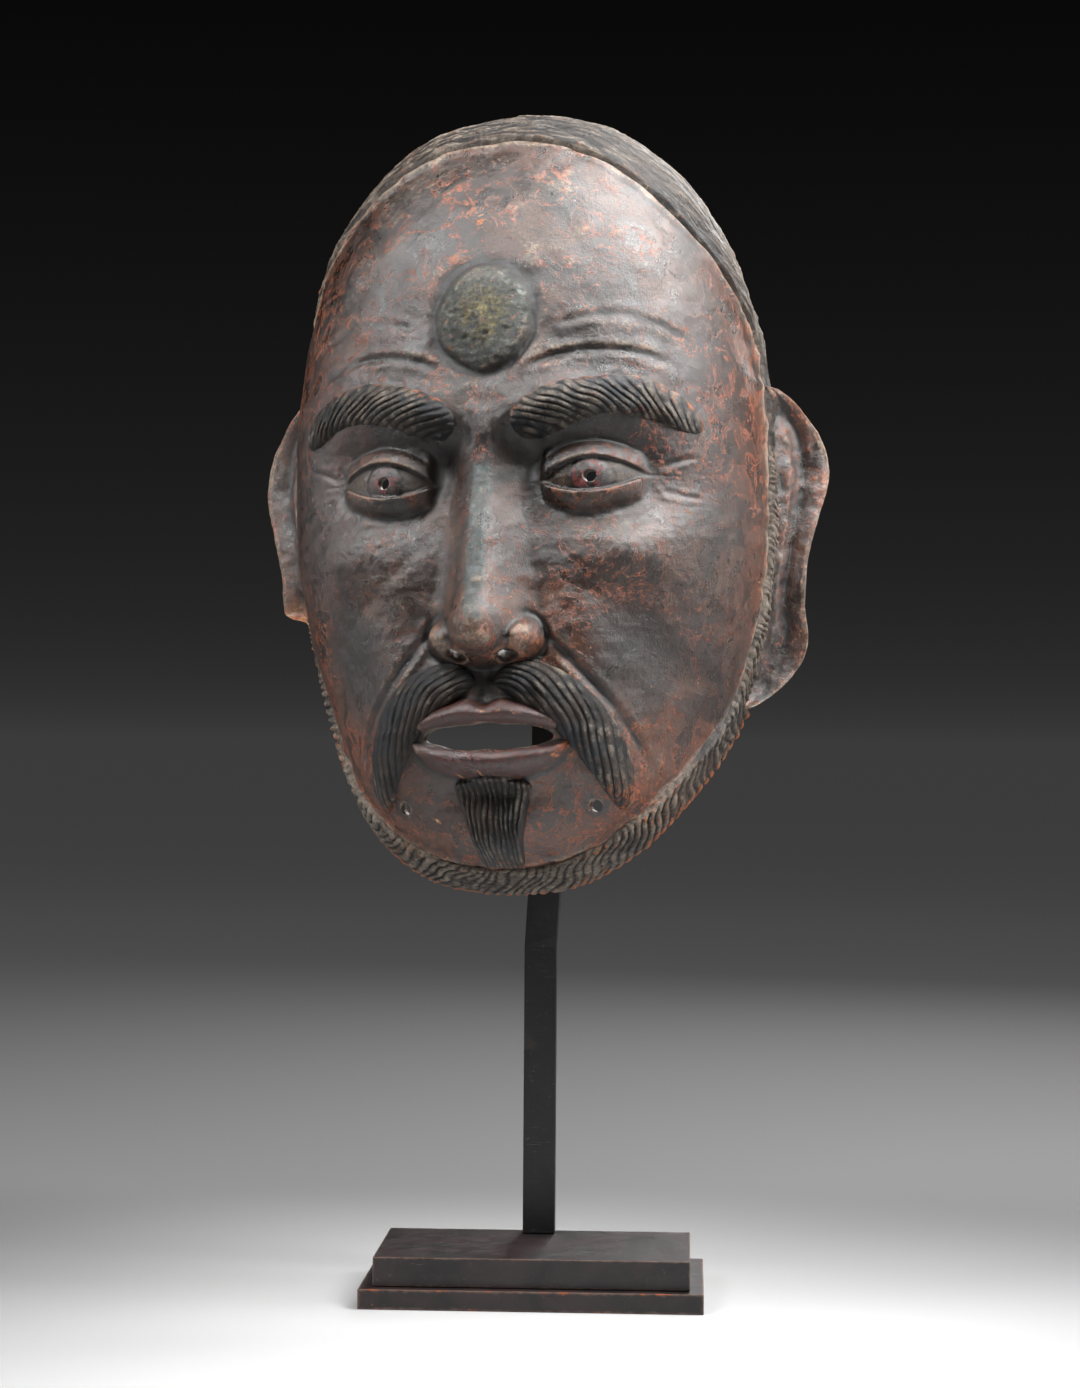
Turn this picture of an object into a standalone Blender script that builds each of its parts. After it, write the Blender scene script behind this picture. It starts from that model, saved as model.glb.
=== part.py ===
# Papier-mache dance mask on its black steel display stand.
# Metres, Z up, the mask facing -Y. The origin is the centre of the stand's underside.

import math

import bmesh
import bpy
import numpy as np
from mathutils import Matrix, Vector
from mathutils.bvhtree import BVHTree

# Mask
MASK_HEIGHT = 0.336  # chin to crown
FACE_WIDTH = 0.208  # across the temples, without the ears
MASK_DEPTH = 0.112  # rim to the plain of the face, without the nose
MASK_WALL = 0.006  # layers of pasted paper
CHIN_ABOVE_FLOOR = 0.175
MASK_RIM_BACK = 0.022  # the rim stands this far behind the middle of the base
MASK_SIDEWAYS = -0.001
MASK_TURN = math.radians(-9.0)  # about Z, towards the viewer's left
MASK_LEAN = math.radians(-1.5)  # about Y, the viewer's right side higher
MASK_NOD = math.radians(-2.0)  # about X, the chin a little forward
MASK_TRIANGLES = 7000

# Holes right through the mask
MOUTH_GAP_WIDTH = 0.054
MOUTH_GAP_HEIGHT = 0.011
PUPIL_RADIUS = 0.0026
NOSTRIL_WIDTH = 0.009
NOSTRIL_LENGTH = 0.009
NOSTRIL_TILT = math.radians(38.0)
CORD_HOLE_RADIUS = 0.0026

# Ears
EAR_THICKNESS = 0.0065
EAR_RIM_THICKNESS = 0.0105
EAR_FLARE = math.radians(40.0)  # how far the ear turns back from pointing straight out sideways
EAR_ROOT_RING = 0.955  # where it grows from the wall, as a share of the way from the face's middle to the rim
EAR_BREAK = -0.42  # the viewer's left ear is broken off below this height, from -1 at its lobe to 1 at its top

# Stand
UPPER_PLATE = (0.134, 0.074, 0.0123)
PLATE_STEP = 0.0058  # the lower plate shows this much on every side
LOWER_PLATE_THICKNESS = 0.0085
PLATE_EDGE_ROUNDING = 0.0004
BAR_WIDTH = 0.0142
BAR_THICKNESS = 0.008
BAR_BACK_MARGIN = 0.0035  # from the bar's back face to the upper plate's back edge
BAR_UPRIGHT = 0.1268  # from the upper plate to the first bend
BAR_LEAN_RISE = 0.045  # height of the leaning part above the bend
BAR_LEAN_SIDEWAYS = 0.003
BAR_LEAN_FORWARD = 0.001
BAR_TWIST = math.radians(-8.0)
BAR_TIP_FORWARD = 0.036  # from the upright to the bar's end under the crown
CLEARANCE = 0.0003  # between pieces that touch

# The carving is drawn on a head this high, wide and deep, and stretched to the real sizes
DRAWN_HEIGHT = 336.0
DRAWN_WIDTH = 208.0
DRAWN_DEPTH = 112.0
STRETCH = Vector((FACE_WIDTH / DRAWN_WIDTH, MASK_DEPTH / DRAWN_DEPTH, MASK_HEIGHT / DRAWN_HEIGHT))

# Drawn places and sizes in millimetres, right of the middle and up from the eye line
EYE = (43.0, -1.0)
EYE_HALF_LENGTH = 21.5
EYEBALL_REACH = (28.5, 22.0)
EYEBALL_BULGE = 17.0
UPPER_LID_RISE = 8.5
LOWER_LID_DROP = 6.5
LID_THICKNESS = 3.2
MOUTH_LINE = -106.0
MOUTH_HALF_LENGTH = 33.0
LIP_GAP = 4.6
UPPER_LIP = (8.5, 6.0)  # height and swell
LOWER_LIP = (12.0, 7.5)
NOSE_TOP = 14.0
NOSE_LENGTH = 76.0
NOSE_RISE = 24.0
NOSE_TIP = (0.0, -60.0, 30.0)  # the third number is how far it stands out
NOSE_WING = (15.0, -66.0, 18.0)
NOSTRIL = (10.5, -71.0)
CORD_HOLE = (40.0, -134.0)
BOSS = (0.0, 66.0)
BOSS_REACH = (20.0, 22.0)
BOSS_RISE = 4.6
BROW_PATH = ((12.0, 19.0), (27.0, 26.0), (46.0, 32.0), (65.0, 31.0), (84.0, 19.0))
MOUSTACHE_PATH = ((4.0, -84.5), (18.0, -85.0), (32.0, -92.0), (42.5, -107.0), (48.0, -122.0), (50.0, -136.0))
BROW_HALF_WIDTH = (10.5, 7.0)  # inner and outer end
MOUSTACHE_HALF_WIDTH = (4.5, 10.7)  # end and middle
TUFT = (-124.0, 40.0, 17.0, 9.0)  # top, length, half width, and how much that narrows downwards
HAIR_RISE = 4.6
MOUSTACHE_RISE = 5.6
FRINGE_ROUND = 830.0  # once round the rim
FRINGE_RISE = (2.6, 0.8)  # everywhere, and more along the beard
BROW_LOCK = 8.0  # one combed lock to the next
MOUSTACHE_LOCK = 6.4
TUFT_LOCK = 5.8
FRINGE_LOCK = 6.8
LOCK_DEPTH = 2.6
RING_LENGTH = 210.0  # from the face's middle round to the rim

# How far a form swells or sinks, its middle and its reach, alike on both sides of the face
FORMS = (
    (2.0, (0.0, 78.0), (60.0, 36.0)),  # forehead
    (5.5, (32.0, 27.0), (32.0, 12.0)),  # brow bone
    (-13.5, EYE, (27.0, 17.0)),  # eye socket
    (-4.5, (18.0, 7.0), (8.0, 12.0)),  # beside the bridge of the nose
    (7.5, (64.0, -31.0), (25.0, 18.0)),  # cheekbone
    (-4.0, (64.0, -92.0), (20.0, 28.0)),  # hollow of the cheek
    (3.0, (44.0, -62.0), (13.0, 26.0)),  # fold beside the nose
    (9.0, (0.0, -104.0), (38.0, 26.0)),  # muzzle
    (8.0, (0.0, -148.0), (21.0, 13.0)),  # chin
    (-3.0, (0.0, -129.0), (20.0, 5.0)),  # under the lower lip
)

GRID_ACROSS = 170
GRID_UP = 210
INSIDE_ACROSS = 30
INSIDE_UP = 36
EAR_GRID_ACROSS = 8
EAR_GRID_UP = 20

COLOURS = {
    "mask": ((0.075, 0.035, 0.024), 0.38, 0.0),
    "stand_bar": ((0.012, 0.011, 0.011), 0.45, 0.6),
    "stand_upper_plate": ((0.030, 0.022, 0.026), 0.42, 0.6),
    "stand_lower_plate": ((0.026, 0.021, 0.021), 0.50, 0.6),
}


def smooth(low, high, value):
    """0 below low, 1 above high, and an S curve between them."""
    share = np.clip((value - low) / (high - low), 0.0, 1.0)
    return share * share * (3.0 - 2.0 * share)


def mound(x, z, centre, radii):
    return np.exp(-(((x - centre[0]) / radii[0]) ** 2) - ((z - centre[1]) / radii[1]) ** 2)


def higher(first, second, softness=2.5):
    """The higher of two reliefs, with the crease between them rounded."""
    return softness * np.logaddexp(first / softness, second / softness)


def along(x, z, path):
    """Signed distance from a path, and the length and share of it passed at the nearest point."""
    path = np.array(path)
    steps = np.diff(path, axis=0)
    lengths = np.hypot(*steps.T)
    starts = np.concatenate([[0.0], np.cumsum(lengths)[:-1]])
    nearest = np.full(x.shape, np.inf)
    side = np.zeros(x.shape)
    passed = np.zeros(x.shape)
    for corner, step, length, start in zip(path[:-1], steps, lengths, starts):
        dx, dz = x - corner[0], z - corner[1]
        share = np.clip((dx * step[0] + dz * step[1]) / length**2, 0.0, 1.0)
        gap = np.hypot(dx - share * step[0], dz - share * step[1])
        closer = gap < nearest
        nearest = np.where(closer, gap, nearest)
        side = np.where(closer, np.sign(step[0] * dz - step[1] * dx), side)
        passed = np.where(closer, start + share * length, passed)
    return nearest * side, passed, passed / lengths.sum()


def rounded_path(corners, points=16):
    """A path's corners made into a smooth curve."""
    corners = np.array(corners)
    places = np.linspace(0.0, 1.0, len(corners))
    wanted = np.linspace(0.0, 1.0, points)
    powers = np.vander(places, 4)
    return np.vander(wanted, 4) @ np.linalg.lstsq(powers, corners, rcond=None)[0]


def strands(phase, depth):
    """Combed grooves: round ridges with narrow valleys."""
    return depth * (np.abs(np.sin(math.pi * phase)) ** 0.7 - 0.7)


def ring_and_turn(across, up):
    """Where a point of the square grid lies on the mask: 0 in the middle to 1 at the rim, and the way it faces."""
    p = across * np.sqrt(1.0 - up**2 / 2.0)
    q = up * np.sqrt(1.0 - across**2 / 2.0)
    ring = np.hypot(p, q)
    return ring * (0.78 + 0.22 * ring**2), np.arctan2(q, p)


def head_form(ring, turn, inset):
    """The plain egg of the head: a squared ellipse from the front, narrower at the jaw."""
    rise = np.sin(turn)
    low = smooth(0.68, 1.0, -rise)
    lowest = math.radians(73.0)
    angle = ring * (math.radians(90.0) * (1.0 - low) + lowest * low)
    out = np.sin(angle)
    reach_x = DRAWN_WIDTH / 2.0 - inset
    reach_z = DRAWN_HEIGHT / 2.0 * (1.0 - low + low / math.sin(lowest)) - inset
    squareness = 2.5 - 0.2 * smooth(-0.1, 0.6, rise)
    sides = np.abs(np.cos(turn) / reach_x) ** squareness
    reach = (sides + np.abs(rise / reach_z) ** squareness) ** (-1.0 / squareness)
    x = reach * out * np.cos(turn)
    z = reach * out * rise
    x *= 1.0 - 0.09 * smooth(0.0, 150.0, -z)
    fullness = 2.4 + 0.9 * low
    y = -(DRAWN_DEPTH - inset) * (1.0 - out**fullness) ** (1.0 / fullness)
    return x, y, z


def broad_relief(x, z):
    """The forms that push the paper out from inside as well."""
    return sum(swell * mound(np.abs(x), z, middle, reach) for swell, middle, reach in FORMS)


def nose(x, z, shrink=0.0):
    a = np.abs(x)
    down = np.clip((NOSE_TOP - z) / NOSE_LENGTH, 0.0, 1.0)
    under = smooth(-80.0 + shrink, -66.0 + shrink, z)
    width = 8.5 + 6.0 * down - shrink
    bridge = smooth(40.0, 10.0, z)
    ridge = (4.0 * bridge + NOSE_RISE * down**1.2) * np.exp(-((a / width) ** 2.3)) * under
    tip = NOSE_TIP[2] - (a**2 + (z - NOSE_TIP[1]) ** 2) / (11.0 - shrink * 0.9)
    across, up = a - NOSE_WING[0] + shrink * 0.8, z - NOSE_WING[1] - shrink * 0.5
    wing = NOSE_WING[2] - (across**2 + up**2) / (5.2 - shrink * 0.35)
    return higher(higher(ridge, np.maximum(tip, -40.0), 2.0), np.maximum(wing, -40.0), 1.6) - 1.0


def eye_edges(a):
    """Upper and lower edge of the eye opening."""
    share = np.clip((a - EYE[0]) / EYE_HALF_LENGTH / 2.0 + 0.5, 0.0, 1.0)
    arch = np.sin(math.pi * share)
    middle = EYE[1] - 1.5 + 3.0 * share
    return middle + UPPER_LID_RISE * arch**0.75, middle - LOWER_LID_DROP * arch**0.85, arch


def eyeball(a, z, shrink=0.0):
    across, up = (a - EYE[0]) / (EYEBALL_REACH[0] - shrink), (z - EYE[1]) / (EYEBALL_REACH[1] - shrink)
    return 2.0 - EYEBALL_BULGE * (across**2 + up**2) ** 1.1


def eyes(x, z, relief):
    a = np.abs(x)
    upper, lower, arch = eye_edges(a)
    inside = np.minimum(upper - z, z - lower)
    lid = LID_THICKNESS * (1.0 - smooth(-0.2, 1.6, inside)) * smooth(0.0, 0.25, arch)
    relief = higher(relief, eyeball(a, z) + lid, 1.3)
    crease = np.exp(-(((z - upper - 6.5) / 1.5) ** 2)) + 0.7 * np.exp(-(((lower - 7.5 - z) / 2.0) ** 2))
    return relief - 1.4 * crease * smooth(0.1, 0.5, arch)


def mouth(x, z, relief):
    """The lips, and the groove from the nose down to them."""
    a = np.abs(x)
    fade = np.sqrt(np.clip(1.0 - (a / MOUTH_HALF_LENGTH) ** 2, 0.0, 1.0))
    gap = LIP_GAP * fade
    bow = 1.6 * np.exp(-(((a - 8.0) / 5.0) ** 2)) - 1.8 * np.exp(-((a / 3.5) ** 2))
    upper = (z - MOUTH_LINE - gap) / ((UPPER_LIP[0] + bow) * fade + 1.5)
    lower = (MOUTH_LINE - gap - z) / (LOWER_LIP[0] * fade + 1.5)
    relief = relief + UPPER_LIP[1] * fade * np.sin(math.pi * np.clip(upper, 0.0, 1.0)) ** 0.7
    relief += LOWER_LIP[1] * fade * np.sin(math.pi * np.clip(lower, 0.0, 1.0)) ** 0.7
    groove = np.exp(-((a / 3.2) ** 2)) - 0.5 * np.exp(-(((a - 6.5) / 2.5) ** 2))
    return relief - 1.8 * groove * smooth(-94.0, -90.0, z) * smooth(-76.0, -82.0, z)


def brows(x, z, relief):
    """Thick crescents, their locks combed from the upper inner side down and out."""
    side, passed, share = along(np.abs(x), z, rounded_path(BROW_PATH))
    half = BROW_HALF_WIDTH[0] + (BROW_HALF_WIDTH[1] - BROW_HALF_WIDTH[0]) * share
    band = np.sqrt(np.clip(1.0 - (side / half) ** 2, 0.0, 1.0))
    phase = (passed * 0.75 + side * 0.75) / BROW_LOCK
    return relief + band * (HAIR_RISE + strands(phase, LOCK_DEPTH))


def moustache(x, z):
    """Combed along its length, out and down round the mouth."""
    side, passed, share = along(np.abs(x), z, rounded_path(MOUSTACHE_PATH))
    end, middle = MOUSTACHE_HALF_WIDTH
    half = end + (middle - end) * np.sin(math.pi * np.clip(share * 0.9 + 0.1, 0.0, 1.0))
    band = np.sqrt(np.clip(1.0 - (side / half) ** 2, 0.0, 1.0))
    phase = (passed * 0.30 + side * 0.95) / MOUSTACHE_LOCK
    return band * (MOUSTACHE_RISE + strands(phase, LOCK_DEPTH))


def goatee(x, z, relief):
    a = np.abs(x)
    top, length, width, narrowing = TUFT
    down = np.clip((top - z) / length, 0.0, 1.0)
    band = smooth(-1.0, 4.0, width - narrowing * down - a) * smooth(top + 2.0, top - 7.0, z + 0.012 * a**2)
    return relief + band * (HAIR_RISE + strands(x / (TUFT_LOCK - 1.6 * down) + 0.5, LOCK_DEPTH * 0.77))


def boss(x, z, relief):
    """The low round boss in the middle of the forehead, with a groove round it."""
    gap = np.hypot((x - BOSS[0]) / BOSS_REACH[0], (z - BOSS[1]) / BOSS_REACH[1])
    groove = np.exp(-(((gap - 1.08) / 0.16) ** 2))
    return relief + BOSS_RISE * np.sqrt(np.clip(1.0 - gap**2, 0.0, 1.0)) - 1.2 * groove


def hair_edge(turn):
    """Where the hair and beard begin, as a share of the way to the rim."""
    rise = np.sin(turn)
    return 0.935 - 0.26 * smooth(0.50, 1.0, rise) - 0.06 * smooth(0.3, 0.9, -rise)


def hair_and_beard(ring, turn):
    """A raised band round the whole rim: cropped hair above, a combed fringe of beard along the jaw."""
    past = (ring - hair_edge(turn)) * RING_LENGTH
    band = smooth(-0.5, 2.5, past)
    beard = smooth(0.15, -0.25, np.sin(turn))
    phase = (turn / math.tau * FRINGE_ROUND + past * 0.2) / FRINGE_LOCK
    lip = 1.6 * np.exp(-((past / 3.0) ** 2)) * (1.0 - beard)
    return band * (FRINGE_RISE[0] + FRINGE_RISE[1] * beard + strands(phase, 0.6 + 1.5 * beard)) + lip


def outer_face(across, up):
    """The carved outside of the mask."""
    ring, turn = ring_and_turn(across, up)
    x, y, z = head_form(ring, turn, 0.0)
    relief = broad_relief(x, z)
    relief = eyes(x, z, relief)
    relief = relief + np.maximum(nose(x, z), 0.0)
    relief = np.maximum(mouth(x, z, relief), relief + moustache(x, z))
    relief = boss(x, z, brows(x, z, goatee(x, z, relief)))
    edge = smooth(0.80, 1.0, ring)
    y = y - relief * (1.0 - edge)
    raised = hair_and_beard(ring, turn)
    away = np.array([x / (DRAWN_WIDTH / 2.0) ** 2, y / DRAWN_DEPTH**2, z / (DRAWN_HEIGHT / 2.0) ** 2])
    away /= np.linalg.norm(away, axis=0)
    return np.array([x, y, z]) + away * raised


def inner_face(across, up):
    """The plain inside, one wall behind the carving."""
    ring, turn = ring_and_turn(across, up)
    inset = MASK_WALL * 1000.0
    x, y, z = head_form(ring, turn, inset)
    relief = broad_relief(x, z) + np.maximum(nose(x, z, 5.0), 0.0)
    relief = higher(relief, eyeball(np.abs(x), z, 5.0), 0.8)
    return np.array([x, y - relief * (1.0 - smooth(0.80, 1.0, ring)), z])


def sheet_between(name, front_grid, front, back_grid, back):
    """A closed solid between two faces, each drawn over its own square grid, joined round their edges."""
    built = bmesh.new()
    for (across, up), face, faces_front in ((front_grid, front, True), (back_grid, back, False)):
        grid = bmesh.ops.create_grid(built, x_segments=across, y_segments=up, size=1.0)["verts"]
        places = np.array([v.co for v in grid])
        drawn = face(places[:, 0], places[:, 1]).T
        for vertex, point in zip(grid, drawn):
            vertex.co = stretched(*point)
        if not faces_front:
            turned = list({f for v in grid for f in v.link_faces})
            bmesh.ops.reverse_faces(built, faces=turned)
    rims = [edge for edge in built.edges if edge.is_boundary]
    bmesh.ops.bridge_loops(built, edges=rims)
    bmesh.ops.recalc_face_normals(built, faces=built.faces)
    mesh = bpy.data.meshes.new(name)
    built.to_mesh(mesh)
    built.free()
    return bpy.data.objects.new(name, mesh)


def ear_face(hand, broken, outward):
    """One face of an ear: a long shell rooted in the wall near the rim, with a rolled edge and a hanging lobe."""

    def drawn(across, up):
        share = (across + 1.0) / 2.0
        turn = math.radians(-10.0) + math.radians(38.0) * up * np.sqrt(1.0 - 0.12 * up**2)
        x, y, z = head_form(np.full(across.shape, EAR_ROOT_RING), turn, MASK_WALL * 500.0)
        width = 17.0 + 13.0 * mound(up, 0.0, (0.50, 0.0), (0.42, 1.0)) + 9.0 * mound(up, 0.0, (-0.72, 0.0), (0.26, 1.0))
        width = width * (1.0 - np.abs(up) ** 5) ** 0.5 + 2.5
        if broken:
            jagged = 1.3 * np.sin(up * 61.0) + 0.9 * np.sin(up * 137.0 + 1.0)
            stump = 4.0 + jagged
            width = stump + (np.maximum(width, stump) - stump) * smooth(EAR_BREAK - 0.05, EAR_BREAK + 0.05, up)
        edge = smooth(0.55, 0.95, share) + 0.8 * smooth(0.75, 0.98, up) * smooth(0.1, 0.4, share)
        roll = (EAR_RIM_THICKNESS - EAR_THICKNESS) * 500.0 * np.minimum(edge, 1.0)
        fold = 1.8 * np.exp(-(((share - 0.42) / 0.11) ** 2)) * smooth(-0.75, -0.4, up) * smooth(0.85, 0.6, up)
        dish = 3.0 * np.sin(math.pi * share) * smooth(1.0, 0.8, np.abs(up))
        half = EAR_THICKNESS * 500.0 + roll
        lift = half + fold - dish if outward else -half - dish
        flare = EAR_FLARE + math.radians(6.0) * up
        x = x + share * width * np.cos(flare) + lift * np.sin(flare)
        y = y + share * width * np.sin(flare) - lift * np.cos(flare)
        return np.array([hand * x, y, z])

    return drawn


def mask_place():
    """From the drawn mask, its middle at the origin, to its place on the stand."""
    middle = Vector((MASK_SIDEWAYS, MASK_RIM_BACK, CHIN_ABOVE_FLOOR + MASK_HEIGHT / 2.0))
    turned = Matrix.Rotation(MASK_TURN, 4, "Z") @ Matrix.Rotation(MASK_LEAN, 4, "Y") @ Matrix.Rotation(MASK_NOD, 4, "X")
    return Matrix.Translation(middle) @ turned


def stretched(x, y, z):
    return Vector((x * STRETCH.x, y * STRETCH.y, z * STRETCH.z))


def collection_named(name, hidden=False):
    made = bpy.data.collections.new(name)
    made.hide_render = hidden
    bpy.context.scene.collection.children.link(made)
    return made


def finished(piece, name):
    """Names the piece, gives it its material and smooth faces between its sharp edges."""
    piece.name = name
    piece.data.name = name
    colour, roughness, metallic = COLOURS[name]
    material = bpy.data.materials.new(name)
    material.use_nodes = True
    shader = material.node_tree.nodes["Principled BSDF"]
    shader.inputs["Base Color"].default_value = (*colour, 1.0)
    shader.inputs["Roughness"].default_value = roughness
    shader.inputs["Metallic"].default_value = metallic
    piece.data.materials.clear()
    piece.data.materials.append(material)
    return piece


def boolean(piece, other, operation):
    step = piece.modifiers.new(other.name, "BOOLEAN")
    step.operation = operation
    step.solver = "EXACT"
    step.object = other


def rod(name, radii, length, middle, tilt=0.0, sides=20):
    """A cutter: an oval rod through the mask, its front end tilted down."""
    built = bmesh.new()
    bmesh.ops.create_cone(built, cap_ends=True, segments=sides, radius1=1.0, radius2=1.0, depth=length)
    bmesh.ops.scale(built, vec=(radii[0], radii[1], 1.0), verts=built.verts)
    turn = Matrix.Rotation(math.radians(90.0) + tilt, 4, "X")
    bmesh.ops.transform(built, matrix=Matrix.Translation(middle) @ turn, verts=built.verts)
    mesh = bpy.data.meshes.new(name)
    built.to_mesh(mesh)
    built.free()
    made = bpy.data.objects.new(name, mesh)
    made.display_type = "WIRE"
    return made


def hole_cutters():
    """Mouth, pupils, nostrils and the two cord holes of the lower jaw."""
    cutters = []
    gap = (MOUTH_GAP_WIDTH / 2.0, MOUTH_GAP_HEIGHT / 2.0)
    cutters.append(rod("mouth_gap", gap, 0.09, stretched(0.0, -120.0, MOUTH_LINE), sides=36))
    for hand in (-1.0, 1.0):
        side = "left" if hand < 0.0 else "right"
        eye = stretched(hand * EYE[0], -95.0, EYE[1])
        cutters.append(rod(f"pupil_{side}", (PUPIL_RADIUS, PUPIL_RADIUS), 0.09, eye, sides=16))
        nostril = stretched(hand * NOSTRIL[0], -116.0, NOSTRIL[1])
        size = (NOSTRIL_WIDTH / 2.0, NOSTRIL_LENGTH / 2.0)
        cutters.append(rod(f"nostril_{side}", size, 0.070, nostril, NOSTRIL_TILT))
        cord = stretched(hand * CORD_HOLE[0], -85.0, CORD_HOLE[1])
        cutters.append(rod(f"cord_hole_{side}", (CORD_HOLE_RADIUS, CORD_HOLE_RADIUS), 0.10, cord, sides=16))
    return cutters


def mask_body():
    """The carved shell before its holes and ears, thinned to a working number of triangles."""
    shell = sheet_between("mask_shell", (GRID_ACROSS, GRID_UP), outer_face, (INSIDE_ACROSS, INSIDE_UP), inner_face)
    faces = sum(len(face.vertices) - 2 for face in shell.data.polygons)
    thin = shell.modifiers.new("thin", "DECIMATE")
    thin.ratio = MASK_TRIANGLES / faces
    return shell


def applied(piece):
    """The piece with its modifiers worked out."""
    bpy.context.view_layer.update()
    graph = bpy.context.evaluated_depsgraph_get()
    mesh = bpy.data.meshes.new_from_object(piece.evaluated_get(graph))
    piece.modifiers.clear()
    piece.data = mesh
    return piece


def lowest_of_crown(mask, x, y, half_width):
    """Height of the crown's underside over a strip this wide, in the world, and no limit behind its rim."""
    inside = mask_place().inverted()
    up = inside.to_3x3() @ Vector((0.0, 0.0, 1.0))
    shape = BVHTree.FromObject(mask, bpy.context.evaluated_depsgraph_get())
    start = CHIN_ABOVE_FLOOR + MASK_HEIGHT * 0.7
    heights = [math.inf]
    for share in (-1.0, 0.0, 1.0):
        hit = shape.ray_cast(inside @ Vector((x + share * half_width, y, start)), up)[0]
        if hit:
            heights.append((mask_place() @ hit).z)
    return min(heights)


def plate(name, size, bottom):
    built = bmesh.new()
    bmesh.ops.create_cube(built, size=1.0)
    bmesh.ops.scale(built, vec=size, verts=built.verts)
    bmesh.ops.translate(built, vec=(0.0, 0.0, bottom + size[2] / 2.0), verts=built.verts)
    mesh = bpy.data.meshes.new(name)
    built.to_mesh(mesh)
    built.free()
    made = bpy.data.objects.new(name, mesh)
    rounding = made.modifiers.new("rounding", "BEVEL")
    rounding.width = PLATE_EDGE_ROUNDING
    rounding.segments = 2
    return finished(made, name)


def bar(foot_height, mask):
    """The flat bar: upright, bent and turned below the chin, then up behind the mask and forward under its crown."""
    back = UPPER_PLATE[1] / 2.0 - BAR_BACK_MARGIN - BAR_THICKNESS / 2.0
    bend = Vector((0.0, back, foot_height + BAR_UPRIGHT))
    above = bend + Vector((BAR_LEAN_SIDEWAYS, -BAR_LEAN_FORWARD, BAR_LEAN_RISE))
    tip_y = above.y - BAR_TIP_FORWARD
    rest_y = np.linspace(tip_y, above.y + BAR_THICKNESS / 2.0, 24)
    under = np.array([lowest_of_crown(mask, above.x, y, BAR_WIDTH * 0.6) for y in rest_y]) - CLEARANCE
    highest = int(np.argmax(np.where(np.isfinite(under), under, 0.0)))
    slope = math.atan2(under[highest] - under[0], rest_y[highest] - rest_y[0])
    tip_top = (under - (rest_y - tip_y) * math.tan(slope)).min()
    tip = Vector((above.x, tip_y, float(tip_top) - BAR_THICKNESS / 2.0 / math.cos(slope)))
    shoulder = Vector((above.x, above.y, tip.z + (above.y - tip.y) * math.tan(slope)))
    stations = [
        (Vector((0.0, back, foot_height)), 0.0, Vector((0.0, 0.0, 1.0))),
        (bend, 0.0, Vector((0.0, 0.0, 1.0))),
        (bend + (above - bend) * 0.12, BAR_TWIST, (above - bend).normalized()),
        (above, BAR_TWIST, ((above - bend).normalized() + Vector((0.0, 0.0, 1.0))).normalized()),
        (shoulder, BAR_TWIST, None),
        (tip, BAR_TWIST, (tip - shoulder).normalized()),
    ]
    built = bmesh.new()
    ends = []
    for place, twist, heading in stations:
        wide = Matrix.Rotation(twist, 3, "Z") @ Vector((1.0, 0.0, 0.0))
        if heading is None:
            middle_way = (Vector((0.0, 0.0, 1.0)) + (tip - shoulder).normalized()).normalized()
            deep = wide.cross(middle_way).normalized() * -1.0
            deep /= math.sin(middle_way.angle(Vector((0.0, 0.0, 1.0))) + math.radians(90.0))
        else:
            deep = (wide.cross(heading) * -1.0).normalized()
        corners = []
        for a, b in ((-1, -1), (1, -1), (1, 1), (-1, 1)):
            corners.append(built.verts.new(place + wide * a * BAR_WIDTH / 2.0 + deep * b * BAR_THICKNESS / 2.0))
        ends.append(corners)
    built.faces.new(reversed(ends[0]))
    built.faces.new(ends[-1])
    for low, high in zip(ends[:-1], ends[1:]):
        for k in range(4):
            built.faces.new((low[k], low[(k + 1) % 4], high[(k + 1) % 4], high[k]))
    bmesh.ops.recalc_face_normals(built, faces=built.faces)
    mesh = bpy.data.meshes.new("stand_bar")
    built.to_mesh(mesh)
    built.free()
    made = bpy.data.objects.new("stand_bar", mesh)
    rounding = made.modifiers.new("rounding", "BEVEL")
    rounding.width = PLATE_EDGE_ROUNDING
    rounding.segments = 2
    rounding.angle_limit = math.radians(60.0)
    return finished(made, "stand_bar")


def main():
    for thing in list(bpy.data.objects):
        bpy.data.objects.remove(thing)
    parts = collection_named("papier_mache_mask_on_stand")
    helpers = collection_named("cutters", hidden=True)

    mask = mask_body()
    parts.objects.link(mask)
    applied(mask)
    ears = []
    for name, hand, broken in (("ear_right", 1.0, False), ("ear_left", -1.0, True)):
        grid = (EAR_GRID_ACROSS, EAR_GRID_UP)
        ears.append(sheet_between(name, grid, ear_face(hand, broken, True), grid, ear_face(hand, broken, False)))
    for ear in ears:
        helpers.objects.link(ear)
        boolean(mask, ear, "UNION")
    for cutter in hole_cutters():
        helpers.objects.link(cutter)
        boolean(mask, cutter, "DIFFERENCE")
    for piece in (mask, *helpers.objects):
        piece.matrix_world = mask_place()
    mask.data.shade_smooth()
    mask.data.set_sharp_from_angle(angle=math.radians(50.0))
    finished(mask, "mask")

    lower_size = (UPPER_PLATE[0] + 2.0 * PLATE_STEP, UPPER_PLATE[1] + 2.0 * PLATE_STEP, LOWER_PLATE_THICKNESS)
    parts.objects.link(plate("stand_lower_plate", lower_size, 0.0))
    upper_bottom = LOWER_PLATE_THICKNESS + CLEARANCE
    parts.objects.link(plate("stand_upper_plate", UPPER_PLATE, upper_bottom))
    parts.objects.link(bar(upper_bottom + UPPER_PLATE[2] + CLEARANCE, mask))


main()
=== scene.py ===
import math

import bmesh
import bpy
import numpy as np
from mathutils import Matrix, Vector


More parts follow.
